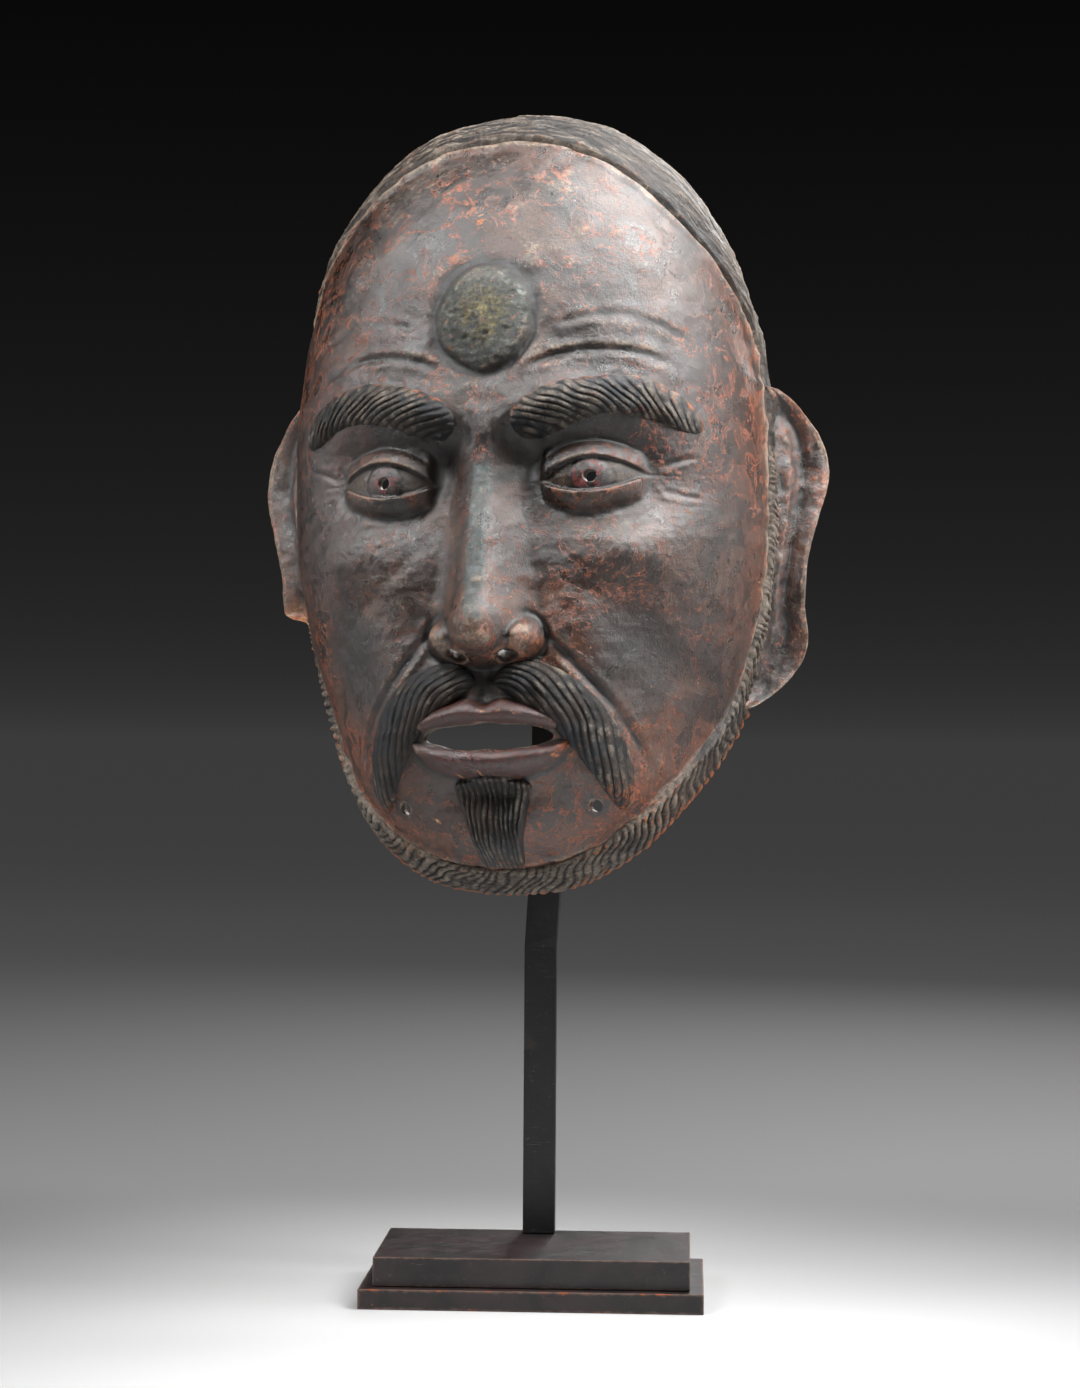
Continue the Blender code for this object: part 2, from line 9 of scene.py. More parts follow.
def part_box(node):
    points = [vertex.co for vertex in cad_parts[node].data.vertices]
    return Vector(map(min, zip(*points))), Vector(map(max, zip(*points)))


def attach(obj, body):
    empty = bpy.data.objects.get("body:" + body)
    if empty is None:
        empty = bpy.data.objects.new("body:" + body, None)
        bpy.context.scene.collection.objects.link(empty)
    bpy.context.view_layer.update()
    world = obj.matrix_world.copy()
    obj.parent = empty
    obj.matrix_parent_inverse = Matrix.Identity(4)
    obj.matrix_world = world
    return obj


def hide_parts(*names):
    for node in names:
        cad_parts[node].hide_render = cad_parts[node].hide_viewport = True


# Lacquered papier-mache mask on a blackened steel stand.
# The carving is worked out in millimetres on an upright head, then put in its place in metres.

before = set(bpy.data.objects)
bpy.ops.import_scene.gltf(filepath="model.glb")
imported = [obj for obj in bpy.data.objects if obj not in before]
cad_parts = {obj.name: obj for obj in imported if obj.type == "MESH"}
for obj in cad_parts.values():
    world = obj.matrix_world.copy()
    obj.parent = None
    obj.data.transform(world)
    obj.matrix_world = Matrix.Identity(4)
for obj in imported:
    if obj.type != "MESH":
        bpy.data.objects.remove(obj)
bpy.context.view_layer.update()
print("frame loaded")

view = {
    "place": (0.0646, -1.2604, 0.2397),
    "left": 2.92,  # degrees
    "up": 0.92,
    "roll": 0.39,
    "lens": 75.2,
}


def setCamera():
    camera = bpy.data.objects.new("camera", bpy.data.cameras.new("camera"))
    camera.data.lens = view["lens"]
    turned = Matrix.Rotation(math.radians(view["left"]), 4, "Z")
    turned = turned @ Matrix.Rotation(math.radians(90.0 + view["up"]), 4, "X")
    turned = turned @ Matrix.Rotation(math.radians(view["roll"]), 4, "Z")
    camera.matrix_world = Matrix.Translation(view["place"]) @ turned
    bpy.context.scene.collection.objects.link(camera)
    bpy.context.scene.camera = camera


setCamera()
print("camera set")


# Numbers that vary smoothly, for the carving

def ease(low, high, value):
    share = np.clip((value - low) / (high - low), 0.0, 1.0)
    return share * share * (3.0 - 2.0 * share)


def mound(x, z, centre, radii):
    return np.exp(-(((x - centre[0]) / radii[0]) ** 2) - ((z - centre[1]) / radii[1]) ** 2)


def higher(first, second, softness=2.5):
    return softness * np.logaddexp(first / softness, second / softness)


def ripple(x, z, size, seed, waves=10):  # uneven hand work, about -1 to 1
    dice = np.random.default_rng(seed)
    total = np.zeros(np.shape(x))
    for _ in range(waves):
        heading, shift = dice.uniform(0.0, math.tau, 2)
        length = size * dice.uniform(0.7, 1.6)
        total += np.cos((x * math.cos(heading) + z * math.sin(heading)) * math.tau / length + shift)
    return total * math.sqrt(2.0 / waves) / 1.6


def chance(number, seed):  # a fixed draw from 0 to 1 for each whole number
    drawn = np.sin(number * 12.9898 + seed * 78.233) * 43758.5453
    return drawn - np.floor(drawn)


def smoothPath(corners, points=40):
    corners = np.array(corners, float)
    places = np.linspace(0.0, 1.0, len(corners))
    wanted = np.linspace(0.0, 1.0, points)
    return np.vander(wanted, 4) @ np.linalg.lstsq(np.vander(places, 4), corners, rcond=None)[0]


def awayFrom(x, z, path):  # signed distance from a path and the share of its length that is passed
    steps = np.diff(path, axis=0)
    lengths = np.hypot(*steps.T)
    starts = np.concatenate([[0.0], np.cumsum(lengths)[:-1]])
    nearest = np.full(np.shape(x), np.inf)
    side = np.zeros(np.shape(x))
    passed = np.zeros(np.shape(x))
    for corner, step, length, start in zip(path[:-1], steps, lengths, starts):
        dx, dz = x - corner[0], z - corner[1]
        share = np.clip((dx * step[0] + dz * step[1]) / length**2, 0.0, 1.0)
        gap = np.hypot(dx - share * step[0], dz - share * step[1])
        closer = gap < nearest
        nearest = np.where(closer, gap, nearest)
        side = np.where(closer, np.sign(step[0] * dz - step[1] * dx), side)
        passed = np.where(closer, start + share * length, passed)
    return nearest * side, passed / lengths.sum()


def comb(phase, seed=1):  # round strands with narrow valleys, 0 in a valley to 1 on a crest
    strand = np.floor(phase)
    ridge = np.abs(np.sin(math.pi * phase)) ** 0.75
    hair = np.abs(np.sin(math.pi * 3.0 * (phase + 0.13 * chance(strand, seed))))
    return ridge * (0.80 + 0.20 * chance(strand, seed + 1)) - 0.10 * hair * ridge


# The head

head = {
    "height": 336.0,
    "width": 208.0,
    "depth": 112.0,
    "wall": 6.0,
    "chinAboveFloor": 175.0,
    "rimBack": 22.0,
    "sideways": -1.0,
    "turn": -9.0,  # degrees
    "lean": -1.5,
    "nod": -2.0,
    "eye": (43.0, -1.0),
    "mouthLine": -106.0,
    "nostril": (10.5, -71.0),
    "cordHole": (40.0, -134.0),
    "boss": (0.0, 66.0),
    "around": 132.0,  # millimetres of skin for a radian round the face
    "outwards": 210.0,  # and from the middle to the rim
}


def headPlace():
    height = head["chinAboveFloor"] + head["height"] / 2.0
    middle = Vector((head["sideways"], head["rimBack"], height)) * 0.001
    turned = Matrix.Rotation(math.radians(head["turn"]), 4, "Z")
    turned = turned @ Matrix.Rotation(math.radians(head["lean"]), 4, "Y")
    turned = turned @ Matrix.Rotation(math.radians(head["nod"]), 4, "X")
    return Matrix.Translation(middle) @ turned @ Matrix.Scale(0.001, 4)


def ringAndTurn(across, up):  # from a square grid to the round of the head
    p = across * np.sqrt(1.0 - up**2 / 2.0)
    q = up * np.sqrt(1.0 - across**2 / 2.0)
    ring = np.hypot(p, q)
    return ring * (0.70 + 0.30 * ring**2), np.arctan2(q, p)


def headReach(turn, inset):
    rise = np.sin(turn)
    low = ease(0.68, 1.0, -rise)
    lowest = math.radians(73.0)
    reachX = head["width"] / 2.0 - inset
    reachZ = head["height"] / 2.0 * (1.0 - low + low / math.sin(lowest)) - inset
    squareness = 2.5 - 0.2 * ease(-0.1, 0.6, rise)
    sides = np.abs(np.cos(turn) / reachX) ** squareness + np.abs(rise / reachZ) ** squareness
    return sides ** (-1.0 / squareness), low, math.radians(90.0) * (1.0 - low) + lowest * low


def headForm(ring, turn, inset):
    reach, low, widest = headReach(turn, inset)
    out = np.sin(ring * widest)
    x = reach * out * np.cos(turn)
    z = reach * out * np.sin(turn)
    x = x * (1.0 - 0.09 * ease(0.0, 150.0, -z))
    fullness = 2.4 + 0.9 * low
    y = -(head["depth"] - inset) * (1.0 - out**fullness) ** (1.0 / fullness)
    return x, y, z


def plainDepth(x, z):  # the plain head's depth and ring under a point of the front view
    wide = x / (1.0 - 0.09 * ease(0.0, 150.0, -z))
    reach, low, widest = headReach(np.arctan2(z, wide), 0.0)
    out = np.clip(np.hypot(wide, z) / reach, 0.0, 0.9999)
    fullness = 2.4 + 0.9 * low
    return -head["depth"] * (1.0 - out**fullness) ** (1.0 / fullness), np.arcsin(out) / widest


def outward(x, y, z):
    away = np.array([x / (head["width"] / 2.0) ** 2, y / head["depth"] ** 2, z / (head["height"] / 2.0) ** 2])
    return away / np.linalg.norm(away, axis=0)


broadForms = (  # middle, reach and height
    ((0.0, 78.0), (60.0, 36.0), 2.0),  # forehead
    ((32.0, 27.0), (32.0, 12.0), 5.5),  # brow ridge
    (head["eye"], (27.0, 17.0), -13.5),  # socket
    ((18.0, 7.0), (8.0, 12.0), -4.5),  # beside the nose
    ((64.0, -31.0), (25.0, 18.0), 7.5),  # cheekbone
    ((64.0, -92.0), (20.0, 28.0), -4.0),  # hollow of the cheek
    ((44.0, -62.0), (13.0, 26.0), 3.0),  # fold beside the mouth
    ((0.0, -104.0), (38.0, 26.0), 9.0),  # muzzle
    ((0.0, -148.0), (21.0, 13.0), 8.0),  # chin
    ((0.0, -129.0), (20.0, 5.0), -3.0),  # under the lip
)


def forms(x, z, shapes):
    return sum(height * mound(np.abs(x), z, middle, reach) for middle, reach, height in shapes)


def noseRelief(x, z, shrink=0.0):
    a = np.abs(x)
    down = np.clip((14.0 - z) / 76.0, 0.0, 1.0)
    under = ease(-80.0 + shrink, -66.0 + shrink, z)
    width = 8.5 + 6.0 * down - shrink
    ridge = (4.0 * ease(40.0, 10.0, z) + 24.0 * down**1.2) * np.exp(-((a / width) ** 2.3)) * under
    tip = 30.0 - (a**2 + (z + 60.0) ** 2) / (11.0 - shrink * 0.9)
    wing = 18.0 - ((a - 15.0 + shrink * 0.8) ** 2 + (z + 66.0 - shrink * 0.5) ** 2) / (5.2 - shrink * 0.35)
    relief = higher(higher(ridge, np.maximum(tip, -40.0), 2.0), np.maximum(wing, -40.0), 1.6) - 1.0
    crease = np.exp(-(((np.hypot(a - 15.0, z + 66.0) - 10.2) / 1.3) ** 2)) * ease(12.0, 18.0, a)
    return np.maximum(relief, 0.0) - (1.1 * crease if shrink == 0.0 else 0.0)


def eyeEdges(a):
    share = np.clip((a - head["eye"][0] + 21.5) / 43.0, 0.0, 1.0)
    arch = np.sin(math.pi * share)
    middle = head["eye"][1] - 1.5 + 3.0 * share
    return middle + 8.5 * arch**0.75, middle - 6.5 * arch**0.85, arch


def eyeball(a, z, shrink=0.0):
    across, up = (a - head["eye"][0]) / (28.5 - shrink), (z - head["eye"][1]) / (22.0 - shrink)
    return 2.0 - 17.0 * (across**2 + up**2) ** 1.1


def eyeOpening(x, z):  # millimetres inside the lids
    upper, lower, arch = eyeEdges(np.abs(x))
    return np.minimum(upper - z, z - lower), upper, lower, arch


def eyeRelief(x, z, relief):
    a = np.abs(x)
    inside, upper, lower, arch = eyeOpening(x, z)
    fromPupil = np.hypot(a - head["eye"][0], z - head["eye"][1])
    ball = eyeball(a, z) + 0.45 * ease(8.4, 7.4, fromPupil) - 0.3 * np.exp(-(((fromPupil - 8.6) / 0.7) ** 2))
    lid = 3.2 * (1.0 - ease(-0.2, 1.2, inside)) * ease(0.0, 0.25, arch)
    relief = higher(relief, ball + lid, 1.3)
    crease = np.exp(-(((z - upper - 6.5) / 1.4) ** 2)) + 0.7 * np.exp(-(((lower - 7.5 - z) / 1.8) ** 2))
    return relief - 1.5 * crease * ease(0.1, 0.5, arch)


def lipShape(x, z):
    a = np.abs(x)
    fade = np.sqrt(np.clip(1.0 - (a / 33.0) ** 2, 0.0, 1.0))
    gap = 4.6 * fade
    bow = 1.6 * np.exp(-(((a - 8.0) / 5.0) ** 2)) - 1.8 * np.exp(-((a / 3.5) ** 2))
    upper = (z - head["mouthLine"] - gap) / (8.5 * fade + bow * fade + 1.5)
    lower = (head["mouthLine"] - gap - z) / (12.0 * fade + 1.5)
    return fade, upper, lower


def mouthRelief(x, z, relief):
    a = np.abs(x)
    fade, upper, lower = lipShape(x, z)
    relief = relief + 6.0 * fade * np.sin(math.pi * np.clip(upper, 0.0, 1.0)) ** 0.7
    relief += 7.5 * fade * np.sin(math.pi * np.clip(lower, 0.0, 1.0)) ** 0.7
    lines = np.abs(np.sin(x * 0.9 + 0.6 * np.sin(z * 0.4))) * fade
    lines = lines * (ease(0.1, 0.4, lower) * ease(1.0, 0.7, lower))
    groove = np.exp(-((a / 3.2) ** 2)) - 0.5 * np.exp(-(((a - 6.5) / 2.5) ** 2))
    return relief - 0.25 * lines - 1.8 * groove * ease(-94.0, -90.0, z) * ease(-76.0, -82.0, z)


foldLines = (  # path right of the middle, depth, width
    (((19.0, -56.0), (26.0, -66.0), (40.0, -82.0), (53.0, -100.0), (60.0, -122.0)), 1.5, 1.7),
    (((15.0, 42.0), (34.0, 50.0), (58.0, 51.0), (80.0, 42.0)), 1.1, 1.5),
    (((27.0, 60.0), (44.0, 66.0), (63.0, 65.0), (82.0, 55.0)), 0.8, 1.4),
    (((68.0, 3.0), (75.0, 6.5), (84.0, 8.5)), 0.7, 1.1),
    (((68.5, -5.0), (76.0, -7.5), (85.0, -8.0)), 0.7, 1.1),
    (((5.0, 11.0), (4.4, 19.0), (5.5, 28.0)), 0.8, 1.2),
)


def foldRelief(x, z):
    relief = np.zeros(np.shape(x))
    for corners, depth, width in foldLines:
        side, share = awayFrom(np.abs(x), z, smoothPath(corners, 14))
        along = ease(0.0, 0.16, share) * ease(1.0, 0.80, share) * (0.85 + 0.25 * ripple(x, z, 17.0, 31))
        shoulder = np.exp(-(((np.abs(side) - 2.1 * width) / (1.1 * width)) ** 2))
        relief += along * depth * (0.45 * shoulder - np.exp(-((side / width) ** 2)))
    return relief


def bossRelief(x, z):
    gap = np.hypot((x - head["boss"][0]) / 20.0, (z - head["boss"][1]) / 22.0)
    gap = gap * (1.0 + 0.025 * ripple(x, z, 16.0, 41))
    grain = 0.34 * ripple(x, z, 2.6, 42) * ease(1.0, 0.85, gap)
    dome = 4.6 * np.sqrt(np.clip(1.0 - gap**2, 0.0, 1.0))
    return dome - 1.3 * np.exp(-(((gap - 1.07) / 0.13) ** 2)) + grain, gap


def handWork(x, z):  # the slight lumps of pasted paper and thick paint
    return 0.50 * ripple(x, z, 27.0, 11) + 0.20 * ripple(x, z, 10.0, 12) + 0.10 * ripple(x, z, 4.6, 13)


def faceRelief(x, z, lips=True):
    relief = eyeRelief(x, z, forms(x, z, broadForms)) + noseRelief(x, z)
    if lips:
        relief = mouthRelief(x, z, relief)
    return relief + bossRelief(x, z)[0] + foldRelief(x, z)


def hairEdge(turn):  # where hair and beard begin, as a share of the way to the rim
    rise = np.sin(turn)
    return 0.935 - 0.26 * ease(0.50, 1.0, rise) - 0.06 * ease(0.3, 0.9, -rise)


def pastEdge(ring, turn):
    return (ring - hairEdge(turn)) * head["outwards"]


def hairline(past, beard):
    return (1.7 - 0.9 * beard) * np.exp(-((past / 1.5) ** 2))


def rimWave(ring, turn):  # the rim was cut by hand
    return 0.45 * ripple(turn * head["around"], 0.0 * turn, 9.0, 22) * ease(0.97, 1.0, ring)


sootAndShadePlaces = (  # middle, reach and strength of the dirt of use and of the painted shade under the brows, beside the nose, in the cheek hollows and under the nose and lip
    ((27.0, 20.0), (30.0, 12.0), 1.0),
    ((20.0, 2.0), (9.0, 15.0), 1.0),
    ((58.0, -75.0), (20.0, 26.0), 0.9),
    (head["cordHole"], (5.0, 5.0), 1.0),
    ((0.0, -82.0), (16.0, 7.0), 1.0),
    ((0.0, -127.0), (24.0, 6.0), 0.7),
)


def outerFace(across, up):
    ring, turn = ringAndTurn(across, up)
    x, y, z = headForm(ring, turn, 0.0)
    a = np.abs(x)
    fade = ease(0.80, 1.0, ring)
    inside = eyeOpening(x, z)[0]
    calm = 1.0 - 0.85 * ease(-1.0, 1.0, inside)
    y = y - (faceRelief(x, z) + handWork(x, z) * calm) * (1.0 - fade)
    beard = ease(0.15, -0.25, np.sin(turn))
    past = pastEdge(ring, turn) + 0.8 * ripple(turn * head["around"], 0.0 * turn, 15.0, 21)
    lumps = 0.3 * ease(0.0, 3.0, past) + 0.4 * ripple(x, z, 12.0, 14)
    raised = hairline(past, beard) + lumps * ease(0.80, 0.90, ring)
    point = np.array([x, y, z]) + outward(x, y, z) * raised
    point[1] += rimWave(ring, turn)
    fadeLips, upper, lower = lipShape(x, z)
    upperLip = ease(-0.25, 0.05, upper) * ease(1.15, 0.9, upper)
    lowerLip = ease(-0.25, 0.05, lower) * ease(1.1, 0.85, lower)
    lips = fadeLips * np.maximum(upperLip, lowerLip)
    fromPupil = np.hypot(a - head["eye"][0], z - head["eye"][1])
    masks = {
        "lips": lips * ease(60.0, 40.0, a),
        "boss": np.clip(1.2 - bossRelief(x, z)[1], 0.0, 1.0),
        "eyeball": ease(-0.3, 0.7, inside),
        "iris": ease(9.0, 4.5, fromPupil) * ease(-0.3, 0.5, inside),
        "stripe": np.exp(-((a / 5.6) ** 4)) * ease(-66.0, -58.0, z) * ease(12.0, 2.0, z),
        "reddened": np.clip(ease(-20.0, -90.0, z) * 0.75 + ease(0.70, 0.88, ring) * 0.5, 0.0, 1.0),
        "hairline": np.exp(-((past / 2.0) ** 2)) * ease(0.5, 0.7, ring),
        # where soot and painted shade darken the face
        "sootAndShade": np.clip(forms(x, z, sootAndShadePlaces), 0.0, 1.0),
    }
    return point, masks


def innerFace(across, up):
    ring, turn = ringAndTurn(across, up)
    x, y, z = headForm(ring, turn, head["wall"])
    relief = forms(x, z, broadForms) + noseRelief(x, z, 5.0)
    relief = higher(relief, eyeball(np.abs(x), z, 5.0), 0.8)
    relief += 0.5 * ripple(x, z, 19.0, 51) + 0.3 * ripple(x, z, 8.0, 52)
    point = np.array([x, y - relief * (1.0 - ease(0.80, 1.0, ring)), z])
    point[1] += rimWave(ring, turn)
    return point, {}


maskCells = {
    "outer": (170, 212),
    "inner": (64, 78),
    "finer": ((0.0, -48.0), (92.0, 128.0)),  # middle and reach of the oval that gets twice as many
}


def newPiece(built, name):
    mesh = bpy.data.meshes.new(name)
    built.to_mesh(mesh)
    built.free()
    piece = bpy.data.objects.new(name, mesh)
    bpy.context.scene.collection.objects.link(piece)
    return piece


def closedSheet(name, frontCells, front, backCells, back, finer=None):
    # Two grids, each moved onto its own face and joined round their edges
    built = bmesh.new()
    counts, drawn = [], []
    for cells, face in ((frontCells, front), (backCells, back)):
        before = len(built.verts)
        made = bmesh.ops.create_grid(built, x_segments=cells[0], y_segments=cells[1], size=1.0)["verts"]
        if finer and face is front:
            places = np.array([v.co for v in made])
            x, y, z = headForm(*ringAndTurn(places[:, 0], places[:, 1]), 0.0)
            close = np.hypot((x - finer[0][0]) / finer[1][0], (z - finer[0][1]) / finer[1][1]) < 1.0
            chosen = {v for v, near in zip(made, close) if near}
            edges = [e for e in built.edges if e.verts[0] in chosen and e.verts[1] in chosen]
            bmesh.ops.subdivide_edges(built, edges=edges, cuts=1, use_grid_fill=True)
        made = list(built.verts)[before:]
        places = np.array([v.co for v in made])
        point, found = face(places[:, 0], places[:, 1])
        for vertex, place in zip(made, point.T):
            vertex.co = place
        if face is back:
            bmesh.ops.reverse_faces(built, faces=list({f for v in made for f in v.link_faces}))
        counts.append(len(made))
        drawn.append(found)
    for face in built.faces:
        face.smooth = True
    backFaces = {f for v in list(built.verts)[counts[0]:] for f in v.link_faces}
    for face in backFaces:
        face.material_index = 1
    rims = [edge for edge in built.edges if edge.is_boundary]
    for face in bmesh.ops.bridge_loops(built, edges=rims)["faces"]:
        face.material_index = 1
        face.smooth = True
    bmesh.ops.recalc_face_normals(built, faces=built.faces)
    piece = newPiece(built, name)
    for key in drawn[0]:
        values = np.concatenate([drawn[0][key], drawn[1].get(key, np.zeros(counts[1]))])
        writeMask(piece.data, key, values)
    return piece


def writeMask(mesh, name, values):
    layer = mesh.attributes.get(name) or mesh.attributes.new(name, "FLOAT", "POINT")
    layer.data.foreach_set("value", np.ascontiguousarray(values, np.float32))


def readVectors(source, field):
    values = np.empty(len(source) * 3)
    source.foreach_get(field, values)
    return values.reshape(-1, 3)


def markRelief(mesh, rounds, size):
    # Crests and hollows, from how far each point stands off its smoothed surroundings
    points, normals = readVectors(mesh.vertices, "co"), readVectors(mesh.vertex_normals, "vector")
    edges = np.empty(len(mesh.edges) * 2, np.int64)
    mesh.edges.foreach_get("vertices", edges)
    edges = edges.reshape(-1, 2)
    ends = np.concatenate([edges[:, 0], edges[:, 1]])
    others = np.concatenate([edges[:, 1], edges[:, 0]])
    shared = np.maximum(np.bincount(ends, minlength=len(points)), 1)
    soft = points.copy()
    for _ in range(rounds):
        means = [np.bincount(ends, soft[others, k], len(points)) / shared for k in range(3)]
        soft = soft * 0.35 + np.stack(means, axis=1) * 0.65
    off = ((soft - points) * normals).sum(axis=1) / size
    writeMask(mesh, "hollow", np.clip(off, 0.0, 1.0))
    writeMask(mesh, "crest", np.clip(-off, 0.0, 1.0))


def applied(piece):
    graph = bpy.context.evaluated_depsgraph_get()
    final = piece.evaluated_get(graph)
    mesh = bpy.data.meshes.new_from_object(final, preserve_all_data_layers=True, depsgraph=graph)
    piece.modifiers.clear()
    piece.data = mesh
    return piece


def rod(built, radii, length, middle, tilt=0.0, sides=40):  # an oval rod through the mask
    made = bmesh.ops.create_cone(
        built, cap_ends=True, segments=sides, radius1=1.0, radius2=1.0, depth=length
    )["verts"]
    bmesh.ops.scale(built, vec=(radii[0], radii[1], 1.0), verts=made)
    turned = Matrix.Translation(middle) @ Matrix.Rotation(math.radians(90.0 + tilt), 4, "X")
    bmesh.ops.transform(built, matrix=turned, verts=made)


holes = {
    "mouth": (27.0, 5.5),  # half its width and height
    "pupil": (2.6, 2.6),
    "nostril": (4.5, 4.5),
    "nostrilTilt": 38.0,  # degrees
    "cord": (2.6, 2.6),
    "mouthWear": 0.5,
}


def holeCutter():
    built = bmesh.new()
    rod(built, holes["mouth"], 90.0, (0.0, -120.0, head["mouthLine"]), sides=90)
    for hand in (-1.0, 1.0):
        pupil = (hand * head["eye"][0], -95.0, head["eye"][1])
        nostril = (hand * head["nostril"][0], -116.0, head["nostril"][1])
        cord = (hand * head["cordHole"][0], -85.0, head["cordHole"][1])
        rod(built, holes["pupil"], 90.0, pupil)
        rod(built, holes["nostril"], 70.0, nostril, holes["nostrilTilt"])
        rod(built, holes["cord"], 100.0, cord)
    for vertex in built.verts:  # worn edges, not drilled ones
        x, y, z = vertex.co
        if abs(x) < 29.0 and -115.0 < z < -95.0:
            vertex.co.z += holes["mouthWear"] * float(ripple(np.array(x), np.array(y * 0.2), 13.0, 61))
    for face in built.faces:
        face.material_index = 1
        face.smooth = len(face.verts) == 4
    return newPiece(built, "holes")


def placed(piece):  # from the upright head in millimetres to its place in the frame
    piece.data.transform(headPlace())
    piece.data.update()
    return piece


def dressed(piece, *materials):
    piece.data.materials.clear()
    for material in materials:
        piece.data.materials.append(material)
    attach(piece, "root")
    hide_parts("mask")
    return piece


# Nodes

def fed(tree, made, given):  # links or sets a node's inputs
    for name, value in given.items():
        if isinstance(value, bpy.types.NodeSocket):
            tree.links.new(value, made.inputs[name])
        else:
            made.inputs[name].default_value = value
    return made


def put(tree, kind, given=None, **settings):
    made = tree.nodes.new("ShaderNode" + kind)
    for name, value in settings.items():
        setattr(made, name, value)
    return fed(tree, made, given or {})


def noise(tree, place, scale, detail=5.0, rough=0.55, twist=0.0):
    given = {"Vector": place, "Scale": scale, "Detail": detail, "Roughness": rough, "Distortion": twist}
    return put(tree, "TexNoise", given).outputs["Fac"]


def between(tree, value, low, high, first=0.0, last=1.0):
    given = {"Value": value, "From Min": low, "From Max": high, "To Min": first, "To Max": last}
    return put(tree, "MapRange", given, interpolation_type="SMOOTHSTEP").outputs["Result"]


def sums(tree, how, first, second=0.0):
    return put(tree, "Math", {0: first, 1: second}, operation=how).outputs[0]


def less(tree, first, second):
    return sums(tree, "SUBTRACT", first, second)


def times(tree, first, second):
    return sums(tree, "MULTIPLY", first, second)


def weighed(tree, *terms, start=0.0, clamp=False):  # a sum of values, each given with its weight
    total = start
    for value, weight in terms:
        made = put(tree, "Math", {0: value, 1: weight, 2: total}, operation="MULTIPLY_ADD")
        total = made.outputs[0]
    made.use_clamp = clamp
    return total


def blotches(tree, place, grain, low, high, first=0.0, last=1.0):
    return between(tree, noise(tree, place, *grain), low, high, first, last)


def stretched(tree, place, turn, scale):
    return put(tree, "Mapping", {"Vector": place, "Rotation": turn, "Scale": scale}).outputs["Vector"]


def mixed(tree, share, first, second, how="MIX"):
    first, second = ((*c, 1.0) if isinstance(c, tuple) else c for c in (first, second))
    return put(tree, "Mix", {0: share, 6: first, 7: second}, data_type="RGBA", blend_type=how).outputs[2]


def mask(tree, name):
    return put(tree, "Attribute", attribute_name=name).outputs["Fac"]


def newGroup(name, vectors, floats, outputs):
    tree = bpy.data.node_groups.new(name, "ShaderNodeTree")
    for label in vectors:
        tree.interface.new_socket(label, in_out="INPUT", socket_type="NodeSocketVector")
    for label in floats:
        tree.interface.new_socket(label, in_out="INPUT", socket_type="NodeSocketFloat")
    for label in outputs:
        tree.interface.new_socket(label, in_out="OUTPUT", socket_type="NodeSocketFloat")
    return tree, tree.nodes.new("NodeGroupInput").outputs, tree.nodes.new("NodeGroupOutput").inputs


def useGroup(tree, group, given):
    made = tree.nodes.new("ShaderNodeGroup")
    made.node_tree = group
    return fed(tree, made, given).outputs


def makeWear():
    # Patches of whole lacquer with torn edges, red paint at those edges, and flakes down to the paper
    amounts, results = ("Crest", "Hollow", "Rub", "Flake"), ("Whole", "Under", "Bare", "Height")
    tree, given, out = newGroup("wornLayers", ("Place",), amounts, results)
    place, crest = given["Place"], given["Crest"]
    patches = noise(tree, place, 66.0, 10.0, 0.70, 0.8)
    whole = between(tree, patches, 0.485, 0.515)
    torn = between(tree, sums(tree, "ABSOLUTE", less(tree, patches, 0.5)), 0.0, 0.030, 1.0, 0.0)
    fine, broad = noise(tree, place, 360.0, 7.0, 0.75), noise(tree, place, 15.0, 5.0, 0.6)
    score = weighed(tree, (torn, 0.26), (fine, 0.70), (broad, 0.75), (crest, 0.20))
    score = weighed(tree, (given["Hollow"], -0.30), (given["Rub"], 1.0), start=score)
    flakes = noise(tree, place, 105.0, 9.0, 0.72, 0.9)
    flakes = weighed(tree, (crest, 0.05), (given["Flake"], 1.0), start=flakes)
    bare = between(tree, flakes, 0.685, 0.70)
    tree.links.new(whole, out["Whole"])
    tree.links.new(between(tree, score, 0.945, 1.01), out["Under"])
    tree.links.new(bare, out["Bare"])
    tree.links.new(weighed(tree, (whole, 0.16), (bare, -0.45)), out["Height"])
    return tree


def makeDust():
    # Pale dust and dried wax, rubbed on along the crests and held by the grain
    tree, given, out = newGroup("dust", ("Place",), ("Crest", "Amount"), ("Mask",))
    streaks = blotches(tree, given["Place"], (420.0, 9.0, 0.80, 0.4), 0.36, 0.64)
    cloud = blotches(tree, given["Place"], (28.0, 8.0, 0.68), 0.36, 0.64)
    lies = weighed(tree, (given["Crest"], 0.42), (cloud, 0.30), (streaks, 0.40), start=given["Amount"])
    tree.links.new(between(tree, lies, 0.47, 0.93), out["Mask"])
    return tree


def makeLacquer():
    # Thick lacquer on uneven paper: lumps, fine pits and age cracks
    tree, given, out = newGroup("oldLacquer", ("Place",), (), ("Height", "Dull"))
    place = given["Place"]
    lumps, grain = noise(tree, place, 90.0, 4.0, 0.60, 0.5), noise(tree, place, 420.0, 9.0, 0.76)
    cells = put(tree, "TexVoronoi", {"Vector": place, "Scale": 210.0}, feature="DISTANCE_TO_EDGE")
    cracks = between(tree, cells.outputs["Distance"], 0.0, 0.06)
    tree.links.new(weighed(tree, (lumps, 0.30), (grain, 1.35), (cracks, 0.04)), out["Height"])
    tree.links.new(blotches(tree, place, (46.0, 8.0, 0.68), 0.35, 0.68), out["Dull"])
    return tree


wear, dust, lacquer = makeWear(), makeDust(), makeLacquer()
print("node groups made")


